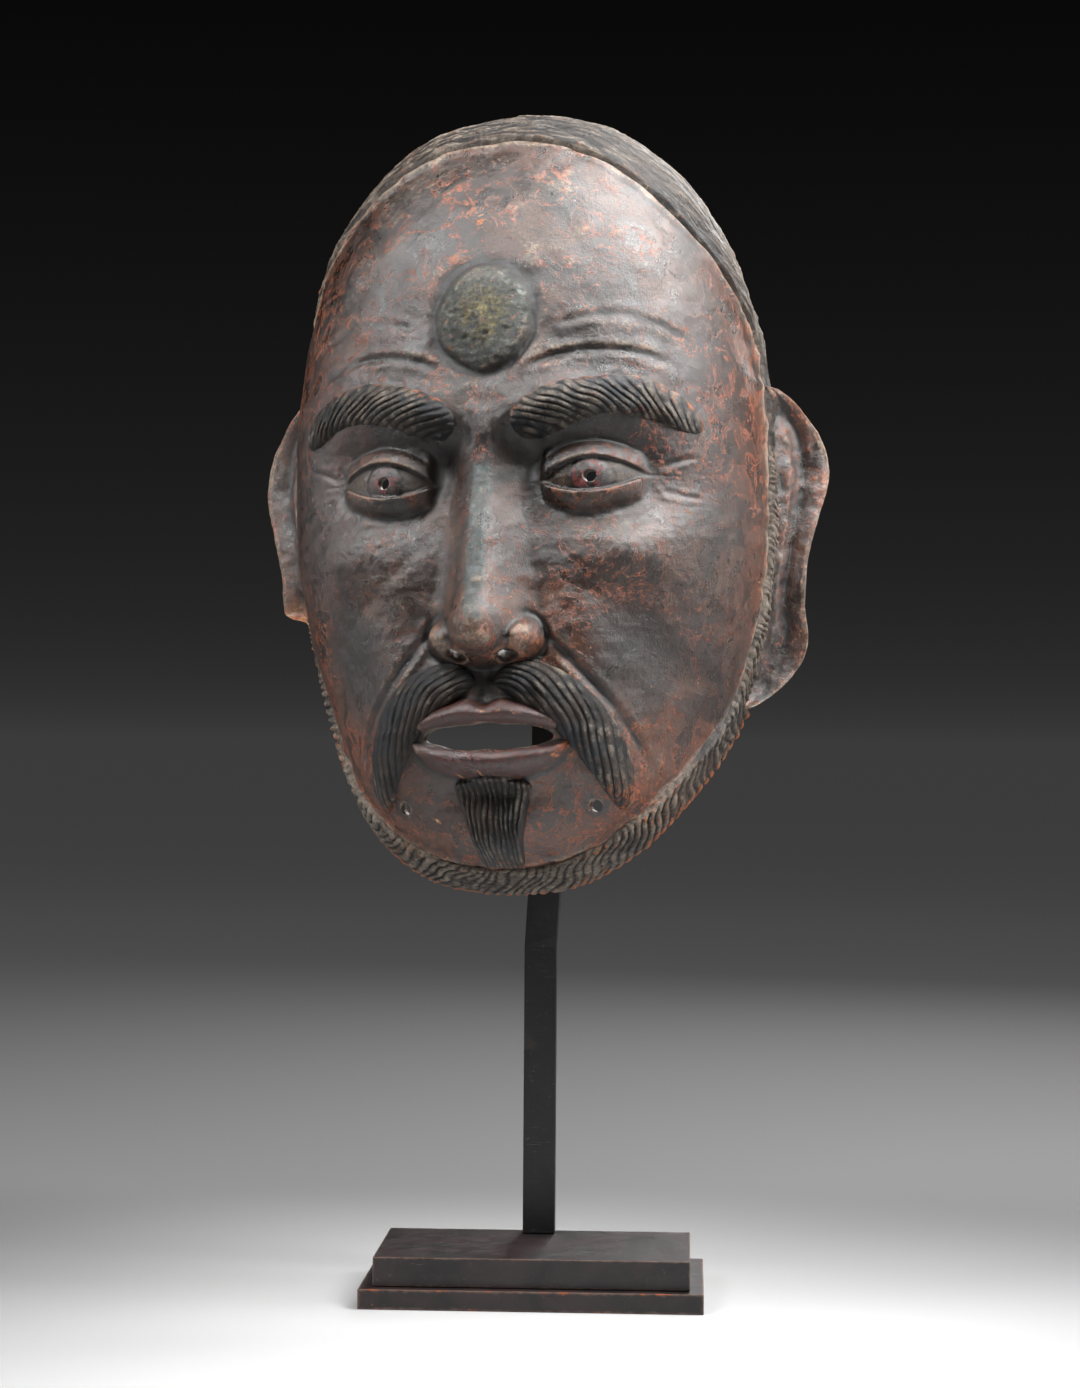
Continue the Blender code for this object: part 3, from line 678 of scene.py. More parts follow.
def newMaterial(name, roughness, coat=0.0):
    material = bpy.data.materials.new(name)
    material.use_nodes = True
    tree = material.node_tree
    shader = tree.nodes["Principled BSDF"]
    shader.inputs["Roughness"].default_value = roughness
    shader.inputs["Coat Weight"].default_value = coat
    shader.inputs["Coat Roughness"].default_value = 0.28
    return material, tree, shader


def bump(tree, shader, height, distance):
    made = put(tree, "Bump", {"Height": height, "Distance": distance, "Strength": 1.0})
    tree.links.new(made.outputs["Normal"], shader.inputs["Normal"])


skin = {
    "dark": (0.0090, 0.0052, 0.0038),
    "brown": (0.068, 0.0265, 0.0125),
    "plum": (0.052, 0.0270, 0.0230),
    "jaw": (0.150, 0.038, 0.009),
    "red": (0.200, 0.036, 0.010),
    "orange": (0.370, 0.088, 0.017),
    "paper": (0.62, 0.34, 0.14),
    "rawPaper": (0.50, 0.26, 0.105),
    "dust": (0.270, 0.208, 0.150),
    "grimeAndShade": (0.0040, 0.0028, 0.0020),
    "lips": (0.080, 0.0110, 0.0075),
    "ball": (0.065, 0.034, 0.014),
    "iris": (0.170, 0.009, 0.005),
    "bossRing": (0.036, 0.047, 0.033),
    "bossMiddle": (0.180, 0.142, 0.034),
    "bossDark": (0.006, 0.008, 0.006),
    "bossRust": (0.260, 0.100, 0.028),
    "stripe": (0.011, 0.038, 0.034),
    "speckDark": (0.62, 0.62, 0.62),  # both multiply the rest
    "speckPale": (1.42, 1.40, 1.36),
    "relief": 0.00036,  # metres
}


def makeSkin():
    material, tree, shader = newMaterial("lacqueredSkin", 0.40)
    shader.inputs["Specular IOR Level"].default_value = 1.0
    place = put(tree, "TexCoord").outputs["Object"]
    crest = between(tree, mask(tree, "crest"), 0.15, 1.3)
    hollow = between(tree, mask(tree, "hollow"), 0.15, 0.9)
    eyeball, iris, boss, lips, raw = (mask(tree, name) for name in ("eyeball", "iris", "boss", "lips", "raw"))
    speckle = blotches(tree, place, (330.0, 8.0, 0.8), 0.42, 0.58)
    grain = noise(tree, place, 640.0, 9.0, 0.82)
    sootAndShade = weighed(tree, (noise(tree, place, 60.0, 8.0, 0.7), 0.6), start=mask(tree, "sootAndShade"))
    sootAndShade = between(tree, sootAndShade, 0.55, 1.15)
    reddened = blotches(tree, place, (17.0, 9.0, 0.72, 0.4), 0.36, 0.56)
    reddened = times(tree, times(tree, mask(tree, "reddened"), reddened), less(tree, 1.0, sootAndShade))
    rub = weighed(tree, (reddened, 0.09), (eyeball, -0.3), (boss, -0.3), (sootAndShade, -0.3))
    layers = {"Place": place, "Crest": crest, "Hollow": hollow, "Rub": rub}
    worn = useGroup(tree, wear, {**layers, "Flake": times(tree, reddened, 0.06)})

    # lacquer: dark where whole, brown where thin
    colour = mixed(tree, blotches(tree, place, (9.0, 4.0), 0.45, 0.6), skin["brown"], skin["plum"])
    darker = blotches(tree, place, (30.0, 9.0, 0.72, 0.5), 0.44, 0.56, 0.0, 0.85)
    colour = mixed(tree, darker, colour, skin["dark"])
    jaw = mixed(tree, speckle, skin["brown"], skin["jaw"])
    colour = mixed(tree, times(tree, reddened, 0.85), colour, jaw)
    colour = mixed(tree, times(tree, worn["Whole"], 0.60), colour, skin["dark"])
    colour = mixed(tree, between(tree, grain, 0.52, 0.66, 0.0, 0.5), colour, skin["dark"])
    reds = blotches(tree, place, (150.0, 8.0, 0.75), 0.42, 0.62)
    reds = mixed(tree, reds, skin["red"], skin["orange"])
    colour = mixed(tree, times(tree, worn["Under"], 0.9), colour, reds)
    # soot and painted shade: near black under the brows, beside the nose and in the cheek hollows
    colour = mixed(tree, times(tree, sootAndShade, 0.8), colour, skin["dark"])

    # painted features
    painted = weighed(tree, (noise(tree, place, 150.0, 8.0, 0.7), 0.8), start=lips)
    painted = between(tree, painted, 0.80, 1.05, 0.0, 0.9)
    lipColour = mixed(tree, between(tree, grain, 0.42, 0.60), skin["dark"], skin["lips"])
    colour = mixed(tree, painted, colour, lipColour)
    ball = mixed(tree, speckle, skin["dark"], skin["ball"])
    colour = mixed(tree, times(tree, eyeball, 0.95), colour, ball)
    colour = mixed(tree, between(tree, iris, 0.0, 0.25, 0.0, 0.9), colour, skin["dark"])
    flecks = blotches(tree, place, (230.0, 6.0, 0.7), 0.50, 0.58, 0.0, 0.9)
    colour = mixed(tree, times(tree, between(tree, iris, 0.35, 0.6), flecks), colour, skin["iris"])
    bossColour = mixed(tree, between(tree, boss, 0.45, 1.0), skin["bossRing"], skin["bossMiddle"])
    bossColour = mixed(tree, speckle, skin["bossDark"], bossColour)
    rusty = blotches(tree, place, (280.0, 7.0, 0.7), 0.58, 0.66, 0.0, 0.8)
    bossColour = mixed(tree, rusty, bossColour, skin["bossRust"])
    bossShare = weighed(tree, (noise(tree, place, 90.0, 6.0, 0.7), 0.5), start=boss)
    colour = mixed(tree, between(tree, bossShare, 0.40, 0.56), colour, bossColour)
    stripe = weighed(tree, (noise(tree, place, 120.0, 8.0, 0.72, 0.5), 1.6), start=mask(tree, "stripe"))
    stripeColour = mixed(tree, speckle, skin["dark"], skin["stripe"])
    colour = mixed(tree, between(tree, stripe, 1.45, 1.75, 0.0, 0.95), colour, stripeColour)

    # flakes, dust, grime with painted shade in the hollows, and the broken edge
    flaked = mixed(tree, between(tree, grain, 0.4, 0.6), skin["paper"], skin["orange"])
    colour = mixed(tree, worn["Bare"], colour, flaked)
    amount = weighed(tree, (mask(tree, "hairline"), 0.20), (eyeball, -0.5), (lips, -0.45))
    amount = weighed(tree, (sootAndShade, -0.36), (boss, -0.2), start=amount)
    dusty = useGroup(tree, dust, {"Place": place, "Crest": crest, "Amount": amount})["Mask"]
    colour = mixed(tree, times(tree, dusty, 0.75), colour, skin["dust"])
    # grime and painted shade: the hollows darkened to near black
    grimeAndShade = weighed(tree, (noise(tree, place, 160.0, 8.0, 0.7), 0.5), start=hollow)
    colour = mixed(tree, between(tree, grimeAndShade, 0.45, 1.1, 0.0, 0.92), colour, skin["grimeAndShade"])
    colour = mixed(tree, raw, colour, mixed(tree, speckle, skin["orange"], skin["rawPaper"]))
    specks = blotches(tree, place, (800.0, 5.0, 0.7), 0.36, 0.64)
    specks = mixed(tree, specks, skin["speckDark"], skin["speckPale"])
    tree.links.new(mixed(tree, 1.0, colour, specks, "MULTIPLY"), shader.inputs["Base Color"])

    old = useGroup(tree, lacquer, {"Place": place})
    rough = weighed(tree, (old["Dull"], 0.18), (worn["Whole"], -0.07), start=0.30)
    rough = weighed(tree, (dusty, 0.16), (boss, 0.16), start=rough)
    rough = weighed(tree, (worn["Bare"], 0.35), (raw, 0.35), start=rough, clamp=True)
    tree.links.new(rough, shader.inputs["Roughness"])
    grainy = times(tree, speckle, boss)
    height = weighed(tree, (worn["Height"], 1.0), (grainy, 1.6), start=old["Height"])
    bump(tree, shader, height, skin["relief"])
    return material


paper = {
    "brown": (0.230, 0.140, 0.075),
    "pale": (0.360, 0.240, 0.138),
    "stain": (0.085, 0.048, 0.030),
    "fibre": (0.34, 0.25, 0.16),
    "strips": 46.0,  # to the metre
    "relief": 0.0006,  # metres
}


def makePaper():
    # The unpainted inside: overlapping pasted strips, stained and handled
    material, tree, shader = newMaterial("rawPaper", 0.85)
    place = put(tree, "TexCoord").outputs["Object"]
    bent = stretched(tree, place, (0.3, 0.5, 0.4), (1.0, 1.0, 0.42))
    given = {"Vector": bent, "Scale": paper["strips"], "Randomness": 0.9}
    strips = put(tree, "TexVoronoi", given, distance="CHEBYCHEV")
    tone = put(tree, "SeparateColor", {"Color": strips.outputs["Color"]}).outputs[0]
    colour = mixed(tree, tone, paper["brown"], paper["pale"])
    colour = mixed(tree, blotches(tree, place, (22.0, 8.0, 0.65), 0.42, 0.66), colour, paper["stain"])
    fibre = noise(tree, stretched(tree, place, (0.4, 0.2, 0.9), (1.0, 1.0, 0.15)), 900.0, 5.0, 0.6)
    colour = mixed(tree, between(tree, fibre, 0.50, 0.75, 0.0, 0.5), colour, paper["fibre"])
    tree.links.new(colour, shader.inputs["Base Color"])
    edges = between(tree, strips.outputs["Distance"], 0.30, 0.62)
    bump(tree, shader, weighed(tree, (edges, -0.5), (fibre, 0.25), (tone, 0.4)), paper["relief"])
    return material


def makeMask(*materials):
    cells = maskCells
    shell = closedSheet("mask_shell", cells["outer"], outerFace, cells["inner"], innerFace, cells["finer"])
    cutter = holeCutter()
    for piece in (shell, cutter):
        for material in materials:
            piece.data.materials.append(material)
    cut = shell.modifiers.new("holes", "BOOLEAN")
    cut.operation = "DIFFERENCE"
    cut.solver = "MANIFOLD"
    cut.object = cutter
    applied(shell)
    bpy.data.objects.remove(cutter)
    markRelief(shell.data, 14, 0.55)
    return dressed(placed(shell), *materials)


skinMaterial, paperMaterial = makeSkin(), makePaper()
maskPiece = makeMask(skinMaterial, paperMaterial)
print("mask shell made,", sum(len(p.vertices) - 2 for p in maskPiece.data.polygons), "triangles")

# Hair, laid on the shell as carved bands of strands

def besidePath(path, share, side):
    steps = np.diff(path, axis=0)
    lengths = np.concatenate([[0.0], np.cumsum(np.hypot(*steps.T))])
    x = np.interp(share * lengths[-1], lengths, path[:, 0])
    z = np.interp(share * lengths[-1], lengths, path[:, 1])
    heading = np.gradient(path, axis=0)
    heading /= np.hypot(*heading.T)[:, None]
    alongX = np.interp(share * lengths[-1], lengths, heading[:, 0])
    alongZ = np.interp(share * lengths[-1], lengths, heading[:, 1])
    return x - alongZ * side, z + alongX * side, share * lengths[-1]


def bandShape(across, up):  # how far a band of hair stands up, 0 at its ends and edges
    return np.sqrt(np.clip(1.0 - up**2, 0.0, 1.0)) * np.sqrt(np.clip(1.0 - np.abs(across) ** 9, 0.0, 1.0))


def laidOn(x, z, lift, lips=True):  # a point of the skin, raised towards the front
    depth, ring = plainDepth(x, z)
    relief = faceRelief(x, z, lips) + handWork(x, z)
    return np.array([x, depth - (relief + lift) * (1.0 - ease(0.80, 1.0, ring)), z])


browStyle = {
    "path": ((12.0, 19.0), (27.0, 26.0), (46.0, 32.0), (65.0, 31.0), (84.0, 19.0)),
    "halfWidth": (10.5, 7.0),  # inner and outer end
    "strand": 3.3,
    "slant": 0.80,
    "cells": (230, 58),
}


def browFace(hand):
    path = smoothPath(browStyle["path"])

    def face(across, up):
        share = (across + 1.0) / 2.0
        ends = np.sqrt(np.clip(1.0 - np.abs(across) ** 5, 0.02, 1.0))
        inner, outer = browStyle["halfWidth"]
        uneven = 1.0 + 0.05 * ripple(share * 74.0, up * 0.0 + hand, 7.0, 71)
        half = (inner + (outer - inner) * share) * ends * uneven
        x, z, passed = besidePath(path, share, up * half)
        bend = 1.1 * np.sin(up * 2.4 + share) + 0.6 * ripple(x, z, 19.0, 72 + int(hand))
        phase = (passed * 0.75 + up * half * browStyle["slant"] + bend) / browStyle["strand"] + 0.4 * hand
        strand = comb(phase, 5.0 + hand) * (0.80 + 0.25 * ripple(x, z, 5.5, 75))
        band = bandShape(across, up)
        lift = -1.0 + band * (4.6 + 1.9 * strand + 0.35 * ripple(x, z, 12.0, 76))
        point = laidOn(x, z, lift)
        point[0] *= hand
        return point, {"valley": 1.0 - strand, "tip": ease(0.45, 0.95, up)}

    return face


moustacheStyle = {
    "path": ((4.0, -84.5), (18.0, -85.0), (32.0, -92.0), (42.5, -107.0), (48.0, -122.0), (50.0, -136.0)),
    "strand": 2.8,
    "cells": (260, 60),
}


def moustacheFace(hand):
    path = smoothPath(moustacheStyle["path"])

    def face(across, up):
        share = (across + 1.0) / 2.0
        half = 4.5 + 6.2 * np.sin(math.pi * np.clip(share * 0.9 + 0.1, 0.0, 1.0))
        half = half * np.sqrt(np.clip(1.0 - np.abs(across) ** 7, 0.03, 1.0))
        x, z, passed = besidePath(path, share, up * half)
        bend = 0.9 * ripple(passed, up * 9.0, 22.0, 81 + int(hand))
        phase = (up * half * 0.95 + passed * 0.30 + bend) / moustacheStyle["strand"] + 0.3 * hand
        strand = comb(phase, 15.0 + hand) * (0.80 + 0.25 * ripple(x, z, 6.5, 85))
        band = bandShape(across, up)
        lift = -1.0 + band * (5.0 + 1.5 * strand + 0.3 * ripple(x, z, 12.0, 86))
        point = laidOn(x, z, lift, lips=False)
        point[0] *= hand
        return point, {"valley": 1.0 - strand, "tip": ease(0.80, 1.0, share)}

    return face


tuftStyle = {
    "top": -121.0,
    "length": 40.0,
    "halfWidth": (17.5, 8.5),
    "strand": 2.5,
    "cells": (120, 110),
}


def tuftFace(across, up):
    down = (1.0 - up) / 2.0
    top, bottom = tuftStyle["halfWidth"]
    half = (top + (bottom - top) * down) * (1.0 + 0.03 * ripple(down * 40.0, across * 0.0, 9.0, 91))
    x = across * half
    z = tuftStyle["top"] - tuftStyle["length"] * down - 0.010 * x**2
    phase = x / (tuftStyle["strand"] * (1.0 - 0.35 * down)) + 0.35 * ripple(x, z, 15.0, 92)
    strand = comb(phase, 25.0) * (0.85 + 0.2 * ripple(x, z, 6.0, 93))
    band = ease(1.0, 0.80, np.abs(across)) * ease(1.0, 0.86, np.abs(up))
    point = laidOn(x, z, -1.0 + band * (4.6 + 1.5 * strand))
    return point, {"valley": 1.0 - strand, "tip": ease(0.75, 1.0, down)}


def rimBand(ring, turn, raised, inset=0.0):
    x, y, z = headForm(np.minimum(ring, 1.0), turn, inset)
    point = np.array([x, y, z]) + outward(x, y, z) * raised
    point[1] += rimWave(ring, turn)
    return point


fringeStyle = {
    "from": 11.0,  # degrees round the face, from the viewer's right
    "to": -191.0,
    "strand": 3.7,
    "cells": (860, 38),
}


def fringeFace(across, up):
    start, stop = math.radians(fringeStyle["from"]), math.radians(fringeStyle["to"])
    turn = start + (stop - start) * (across + 1.0) / 2.0
    length = turn * head["around"]
    over = (1.0 - up) / 2.0  # 0 at the beard's edge, 1 round the rim
    edge = hairEdge(turn)
    ring = edge - 0.006 + (1.006 - edge) * np.minimum(over / 0.93, 1.0)
    past = (ring - edge) * head["outwards"]
    curl = ease(0.93, 1.0, over)
    slant = 0.45 * past + 1.1 * np.sin(past / 4.0 + 2.0 * ripple(length, past * 0.3, 40.0, 93))
    phase = (length + slant + 1.3 * ripple(length, past, 19.0, 94)) / fringeStyle["strand"]
    strand = comb(phase, 35.0)
    ends = ease(1.0, 0.965, np.abs(across))
    rise = ease(-1.3, 2.2, past) * ends
    depth = 0.75 + 0.35 * ripple(length, past, 31.0, 95)
    raised = -1.0 + rise * (3.3 + 1.7 * strand * depth + 0.25 * ripple(length, past, 3.1, 96))
    point = rimBand(ring, turn, raised * (1.0 - 0.8 * curl), 4.0 * curl)
    point[1] += 0.35 * curl * ends
    return point, {"valley": (1.0 - strand) * rise, "tip": ease(0.6, 0.95, over)}


capStyle = {
    "from": 7.0,
    "to": 173.0,
    "stroke": 2.7,
    "cells": (560, 104),
}


def capFace(across, up):
    start, stop = math.radians(capStyle["from"]), math.radians(capStyle["to"])
    turn = start + (stop - start) * (across + 1.0) / 2.0
    over = (up + 1.0) / 2.0
    edge = hairEdge(turn)
    ring = edge + 0.004 + (0.996 - edge) * np.minimum(over / 0.95, 1.0)
    past = (ring - edge) * head["outwards"]
    curl = ease(0.95, 1.0, over)
    length = turn * head["around"]
    wave = 2.2 * ripple(length * 0.35, past, 17.0, 101) + 0.8 * ripple(length, past * 0.5, 9.0, 102)
    stroke = comb((past + wave) / capStyle["stroke"], 45.0)
    broken = ease(-0.7, 0.5, ripple(length * 0.5, past * 1.6, 9.0, 103))
    ends = ease(1.0, 0.97, np.abs(across))
    rise = ease(0.6, 4.2, past) * ends
    lumps = 0.5 * ripple(length, past, 34.0, 104) + 0.25 * ripple(length, past, 11.0, 105)
    lumps += 0.10 * ripple(length, past, 2.6, 106)
    raised = -1.0 + rise * (3.3 + lumps + 0.65 * stroke * broken)
    point = rimBand(ring, turn, raised * (1.0 - 0.8 * curl), 4.0 * curl)
    point[1] += 0.35 * curl * ends
    return point, {"valley": (1.0 - stroke * broken) * rise, "tip": over * 0.0}


def straightBack(face, depth):  # the same outline, pushed into the wall
    def back(across, up):
        point, _ = face(across, up)
        return point - outward(*point) * depth, {}
    return back


def makeBand(name, cells, face, material, rounds=6, depth=2.0):
    backCells = (max(cells[0] // 6, 8), max(cells[1] // 12, 3))
    piece = closedSheet(name, cells, face, backCells, straightBack(face, depth))
    markRelief(piece.data, rounds, 0.4)
    return dressed(placed(piece), material)


earStyle = {
    "thickness": 6.5,
    "rimThickness": 10.5,
    "flare": 40.0,
    "rootRing": 0.955,
    "breakAt": -0.42,  # the left ear is broken off below this; the lobe is at -1, the top at 1
    "cells": (44, 150),
}


def earFace(hand, broken, outer):
    def face(across, up):
        share = (across + 1.0) / 2.0
        turn = math.radians(-10.0) + math.radians(38.0) * up * np.sqrt(1.0 - 0.12 * up**2)
        x, y, z = headForm(np.full(across.shape, earStyle["rootRing"]), turn, head["wall"] / 2.0)
        width = 17.0 + 13.0 * mound(up, 0.0, (0.50, 0.0), (0.42, 1.0))
        width += 9.0 * mound(up, 0.0, (-0.72, 0.0), (0.26, 1.0))
        width = width * (1.0 - np.abs(up) ** 5) ** 0.5 + 2.5
        raw = np.zeros(across.shape)
        if broken:
            stump = 4.0 + 1.3 * np.sin(up * 61.0) + 0.9 * np.sin(up * 137.0 + 1.0)
            kept = ease(earStyle["breakAt"] - 0.05, earStyle["breakAt"] + 0.05, up)
            width = stump + (np.maximum(width, stump) - stump) * kept
            raw = ease(0.15, -0.05, up - earStyle["breakAt"]) * ease(0.1, 0.5, share)
        edge = ease(0.55, 0.95, share) + 0.8 * ease(0.75, 0.98, up) * ease(0.1, 0.4, share)
        roll = (earStyle["rimThickness"] - earStyle["thickness"]) / 2.0 * np.minimum(edge, 1.0)
        fold = 1.8 * np.exp(-(((share - 0.42) / 0.11) ** 2)) * ease(-0.75, -0.4, up) * ease(0.85, 0.6, up)
        dish = 3.0 * np.sin(math.pi * share) * ease(1.0, 0.8, np.abs(up))
        half = earStyle["thickness"] / 2.0 + roll
        along, over = share * width, up * 60.0
        uneven = 0.35 * ripple(along, over, 13.0, 111) + 0.15 * ripple(along, over, 4.0, 112)
        groove = 0.9 * np.exp(-(((share - 0.68) / 0.07) ** 2)) * ease(-0.85, -0.5, up) * ease(0.9, 0.7, up)
        lift = half + fold - dish - groove + uneven if outer else -half - dish + uneven
        flare = (earStyle["flare"] + 6.0 * up) * math.pi / 180.0
        x = x + share * width * np.cos(flare) + lift * np.sin(flare)
        y = y + share * width * np.sin(flare) - lift * np.cos(flare)
        masks = {"reddened": 0.15 + 0.65 * ease(0.6, 1.0, share), "raw": raw * 0.9}
        return np.array([hand * x, y, z]), masks

    return face


def makeEar(name, hand, broken, material):
    back = earFace(hand, broken, False)
    ear = closedSheet(name, earStyle["cells"], earFace(hand, broken, True), earStyle["cells"], back)
    for polygon in ear.data.polygons:
        polygon.material_index = 0
    markRelief(ear.data, 14, 0.35)
    return dressed(placed(ear), material)


hair = {
    "black": (0.0100, 0.0082, 0.0072),
    "blue": (0.013, 0.0175, 0.023),
    "brown": (0.046, 0.028, 0.018),
    "grey": (0.120, 0.095, 0.073),
    "pale": (0.270, 0.225, 0.178),
    "orange": (0.42, 0.105, 0.022),
    # near black for the painted shade in the strand valleys
    "valley": (0.0050, 0.0042, 0.0036),
    "relief": 0.0006,  # metres
}


def makeHair(name, base, second, paleShare, tipShare):
    material, tree, shader = newMaterial(name, 0.5)
    place = put(tree, "TexCoord").outputs["Object"]
    valley, crest, hollow = (mask(tree, name) for name in ("valley", "crest", "hollow"))
    colour = mixed(tree, blotches(tree, place, (30.0, 7.0, 0.62), 0.42, 0.58), base, second)
    browner = blotches(tree, place, (70.0, 8.0, 0.72), 0.45, 0.60, 0.0, 0.8)
    colour = mixed(tree, browner, colour, hair["brown"])
    rub = weighed(tree, (mask(tree, "tip"), tipShare), start=-0.16)
    layers = {"Place": place, "Crest": crest, "Hollow": hollow, "Rub": rub}
    worn = useGroup(tree, wear, {**layers, "Flake": -0.01})
    fibre = noise(tree, place, 260.0, 9.0, 0.78, 0.5)
    streaks = between(tree, fibre, 0.34, 0.66)
    cloud = blotches(tree, place, (19.0, 7.0, 0.66), 0.36, 0.62)
    pale = weighed(tree, (valley, -0.42), (streaks, 0.42), (cloud, 0.42), (crest, 0.22), start=paleShare)
    pale = between(tree, pale, 0.18, 0.72)
    greys = mixed(tree, between(tree, fibre, 0.42, 0.62), hair["grey"], hair["pale"])
    colour = mixed(tree, times(tree, pale, 0.85), colour, greys)
    colour = mixed(tree, times(tree, worn["Under"], 0.8), colour, hair["orange"])
    colour = mixed(tree, worn["Bare"], colour, skin["paper"])
    # painted shade: near black in the strand valleys and hollows
    valleyShade = weighed(tree, (hollow, 0.6), (fibre, 0.6), start=valley)
    colour = mixed(tree, between(tree, valleyShade, 0.85, 1.45, 0.0, 0.92), colour, hair["valley"])
    tree.links.new(colour, shader.inputs["Base Color"])
    tree.links.new(weighed(tree, (pale, 0.22), start=0.42), shader.inputs["Roughness"])
    old = useGroup(tree, lacquer, {"Place": place})
    height = weighed(tree, (worn["Height"], 1.0), (fibre, 0.8), start=old["Height"])
    bump(tree, shader, height, hair["relief"])
    return material


combedMaterial = makeHair("combedBlackHair", hair["black"], hair["blue"], paleShare=-0.08, tipShare=0.22)
beardMaterial = makeHair("wornBeard", hair["black"], hair["brown"], paleShare=0.05, tipShare=0.32)
croppedMaterial = makeHair("croppedGreyHair", hair["brown"], hair["black"], paleShare=0.07, tipShare=0.0)
for name, hand in (("left", -1.0), ("right", 1.0)):
    makeBand("brow_" + name, browStyle["cells"], browFace(hand), combedMaterial)
    makeBand("moustache_" + name, moustacheStyle["cells"], moustacheFace(hand), combedMaterial)
makeBand("chin_tuft", tuftStyle["cells"], tuftFace, combedMaterial)
makeBand("beard_fringe", fringeStyle["cells"], fringeFace, beardMaterial)
makeBand("hair_cap", capStyle["cells"], capFace, croppedMaterial, 10)
makeEar("ear_left", -1.0, True, skinMaterial)
makeEar("ear_right", 1.0, False, skinMaterial)
print("hair and ears made")

# The stand: the bar gets an even turn, the plates keep their CAD shapes, and all get their finish

plateColours = {
    "base": (0.021, 0.0115, 0.0120),
    "dark": (0.0055, 0.0040, 0.0042),
    "worn": (0.115, 0.070, 0.050),
}
upperPlate = {
    **plateColours,
    "edgeWidth": 0.0012,  # metres
    "rusty": -0.06,
    "roughness": 0.36,
}
lowerPlate = {
    **plateColours,
    "edgeWidth": 0.0018,
    "rusty": 0.01,
    "roughness": 0.42,
}
flatBar = {
    "base": (0.0055, 0.0052, 0.0050),
    "dark": (0.0030, 0.0028, 0.0028),
    "worn": (0.035, 0.030, 0.025),
    "edgeWidth": 0.0012,
    "rusty": -0.08,
    "roughness": 0.45,
    "foot": (0.0, 0.0295, 0.1482),  # where it starts to lean
    "lean": (0.003, -0.001, 0.045),
    "turn": 8.0,  # degrees, spread over the leaning part
    "steps": 10,
}
steel = {
    "speck": (0.14, 0.11, 0.10),
    "rust": (0.24, 0.055, 0.013),
    "relief": 0.0003,
}


def makeEdgeWear():
    # Metres from the nearest edge of a box, broken by fine noise
    tree, given, out = newGroup("edgeWear", ("Place", "Middle", "Half"), ("Width",), ("Mask",))
    off = put(tree, "VectorMath", {0: given["Place"], 1: given["Middle"]}, operation="SUBTRACT")
    off = put(tree, "VectorMath", {0: off.outputs["Vector"]}, operation="ABSOLUTE")
    inside = put(tree, "VectorMath", {0: given["Half"], 1: off.outputs["Vector"]}, operation="SUBTRACT")
    split = put(tree, "SeparateXYZ", {0: inside.outputs["Vector"]})
    x, y, z = split.outputs["X"], split.outputs["Y"], split.outputs["Z"]
    least, most = sums(tree, "MINIMUM", x, y), sums(tree, "MAXIMUM", x, y)
    second = sums(tree, "MAXIMUM", least, sums(tree, "MINIMUM", most, z))
    share = sums(tree, "DIVIDE", second, given["Width"])
    share = weighed(tree, (noise(tree, given["Place"], 240.0, 9.0, 0.75), 2.4), start=share)
    tree.links.new(between(tree, share, 1.2, 1.9, 1.0, 0.0), out["Mask"])
    return tree


def makeScratches():
    # Fine marks across the width, a few of them long
    tree, given, out = newGroup("scratches", ("Place",), (), ("Mask",))
    place = given["Place"]
    turned = stretched(tree, place, (0.0, 0.12, 0.25), (30.0, 30.0, 900.0))
    crossed = stretched(tree, place, (0.3, 0.9, 0.7), (25.0, 600.0, 25.0))
    fine = blotches(tree, turned, (1.0, 4.0, 0.6), 0.64, 0.70)
    long = blotches(tree, crossed, (1.0, 3.0, 0.6), 0.67, 0.72)
    held = blotches(tree, place, (35.0, 6.0, 0.7), 0.45, 0.60)
    tree.links.new(times(tree, sums(tree, "MAXIMUM", fine, long), held), out["Mask"])
    return tree


edgeWear, scratches = makeEdgeWear(), makeScratches()


def makeBar():
    built = bmesh.new()
    built.from_mesh(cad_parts["stand_bar"].data)
    bmesh.ops.remove_doubles(built, verts=built.verts[:], dist=0.00001)
    foot, lean, steps = Vector(flatBar["foot"]), Vector(flatBar["lean"]), flatBar["steps"]
    for step in range(2, steps):
        everything = built.verts[:] + built.edges[:] + built.faces[:]
        level = foot + lean * step / steps
        bmesh.ops.bisect_plane(built, geom=everything, plane_co=level, plane_no=(0.0, 0.0, 1.0))
    for vertex in built.verts:
        share = (vertex.co.z - foot.z) / lean.z
        if 0.05 < share < 1.0:
            middle = foot + lean * share
            turned = Matrix.Rotation(math.radians(flatBar["turn"]) * (1.0 - share), 3, "Z")
            vertex.co = middle + turned @ (vertex.co - middle)
    bar = newPiece(built, "bar")
    bar.data.shade_flat()
    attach(bar, "root")
    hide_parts("stand_bar")
    return bar


